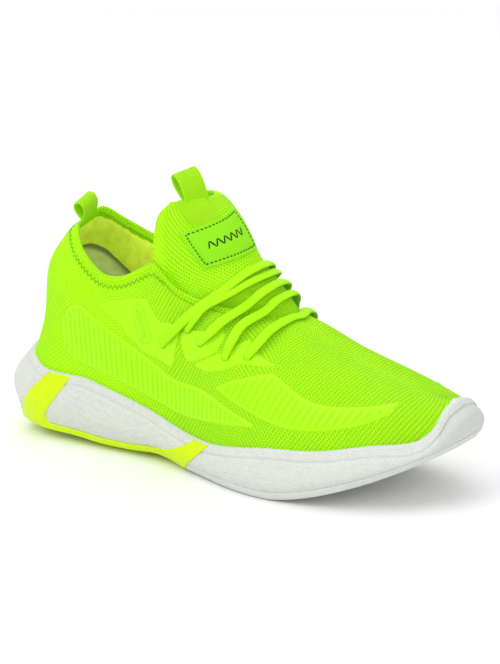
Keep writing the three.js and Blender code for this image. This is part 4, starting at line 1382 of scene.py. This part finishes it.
# ---- floor, light and camera ----
def build_stage():
    bpy.ops.mesh.primitive_plane_add(size=6, location=(0, 0, -0.0006))
    floor = bpy.context.object
    floor.name = "floor"
    material = bpy.data.materials.new("floor_white")
    material.use_nodes = True
    shader = material.node_tree.nodes["Principled BSDF"]
    shader.inputs["Base Color"].default_value = (0.9, 0.9, 0.9, 1)
    shader.inputs["Roughness"].default_value = 0.9
    shader.inputs["Emission Color"].default_value = (1, 1, 1, 1)
    nodes, links = material.node_tree.nodes, material.node_tree.links
    place_node, length = nodes.new("ShaderNodeTexCoord"), nodes.new("ShaderNodeVectorMath")
    length.operation = "LENGTH"
    links.new(place_node.outputs["Object"], length.inputs[0])
    fade = nodes.new("ShaderNodeMapRange")
    fade.inputs["From Min"].default_value, fade.inputs["From Max"].default_value = 0.5, 2.5
    fade.inputs["To Max"].default_value = 0.5
    links.new(length.outputs["Value"], fade.inputs["Value"])
    links.new(fade.outputs["Result"], shader.inputs["Emission Strength"])
    seen_from, one_sided = nodes.new("ShaderNodeNewGeometry"), nodes.new("ShaderNodeMixShader")
    links.new(seen_from.outputs["Backfacing"], one_sided.inputs[0])
    links.new(shader.outputs[0], one_sided.inputs[1])
    links.new(nodes.new("ShaderNodeBsdfTransparent").outputs[0], one_sided.inputs[2])
    links.new(one_sided.outputs[0], nodes["Material Output"].inputs["Surface"])
    floor.data.materials.append(material)
    scene = bpy.context.scene
    world = bpy.data.worlds.new("studio")
    scene.world = world
    world.use_nodes = True
    world.node_tree.nodes["Background"].inputs[0].default_value = (1, 1, 1, 1)
    world.node_tree.nodes["Background"].inputs[1].default_value = 0.68
    for name, place_at, size, power in (
        ("key", (-0.5, -0.9, 1.1), 0.9, 7.4),
        ("fill", (0.9, -0.7, 0.7), 0.9, 3.0),
        ("top", (0.0, 0.1, 1.3), 1.2, 4.9),
        ("back", (-0.6, 0.9, 0.8), 0.8, 3.2),
    ):
        lamp = bpy.data.lights.new(name, "AREA")
        lamp.size, lamp.energy = size, power
        light = bpy.data.objects.new(name, lamp)
        scene.collection.objects.link(light)
        light.location = place_at
        light.rotation_euler = (Vector((0, 0, 0.05)) - light.location).to_track_quat("-Z", "Y").to_euler()
    scene.view_settings.view_transform = "Standard"


def build_camera():
    azimuth, elevation, distance = math.radians(32), math.radians(16), 1.425
    aim = Vector((0.00375, 0, 0.0667))
    level = math.cos(elevation)
    back = Vector((math.sin(azimuth) * level, -math.cos(azimuth) * level, math.sin(elevation)))
    data = bpy.data.cameras.new("camera")
    camera = bpy.data.objects.new("camera", data)
    bpy.context.scene.collection.objects.link(camera)
    camera.location = aim + back * distance
    camera.rotation_euler = (-back).to_track_quat("-Z", "Y").to_euler()
    data.lens, data.sensor_width = 139.56, 36
    data.shift_x, data.shift_y = 0.009, 0.0165
    bpy.context.scene.camera = camera


build_upper()
build_collar_stitches()
build_binding()
build_heel_lining()
build_collar_lining()
build_films()
build_backstay()
build_midsole()
build_outsole()
build_cradle()
build_heel_tread()
build_tongue()
build_label()
build_strap()
build_loops()
build_lace()
build_insole()
build_board()
build_toe_puff()
build_stage()
build_camera()
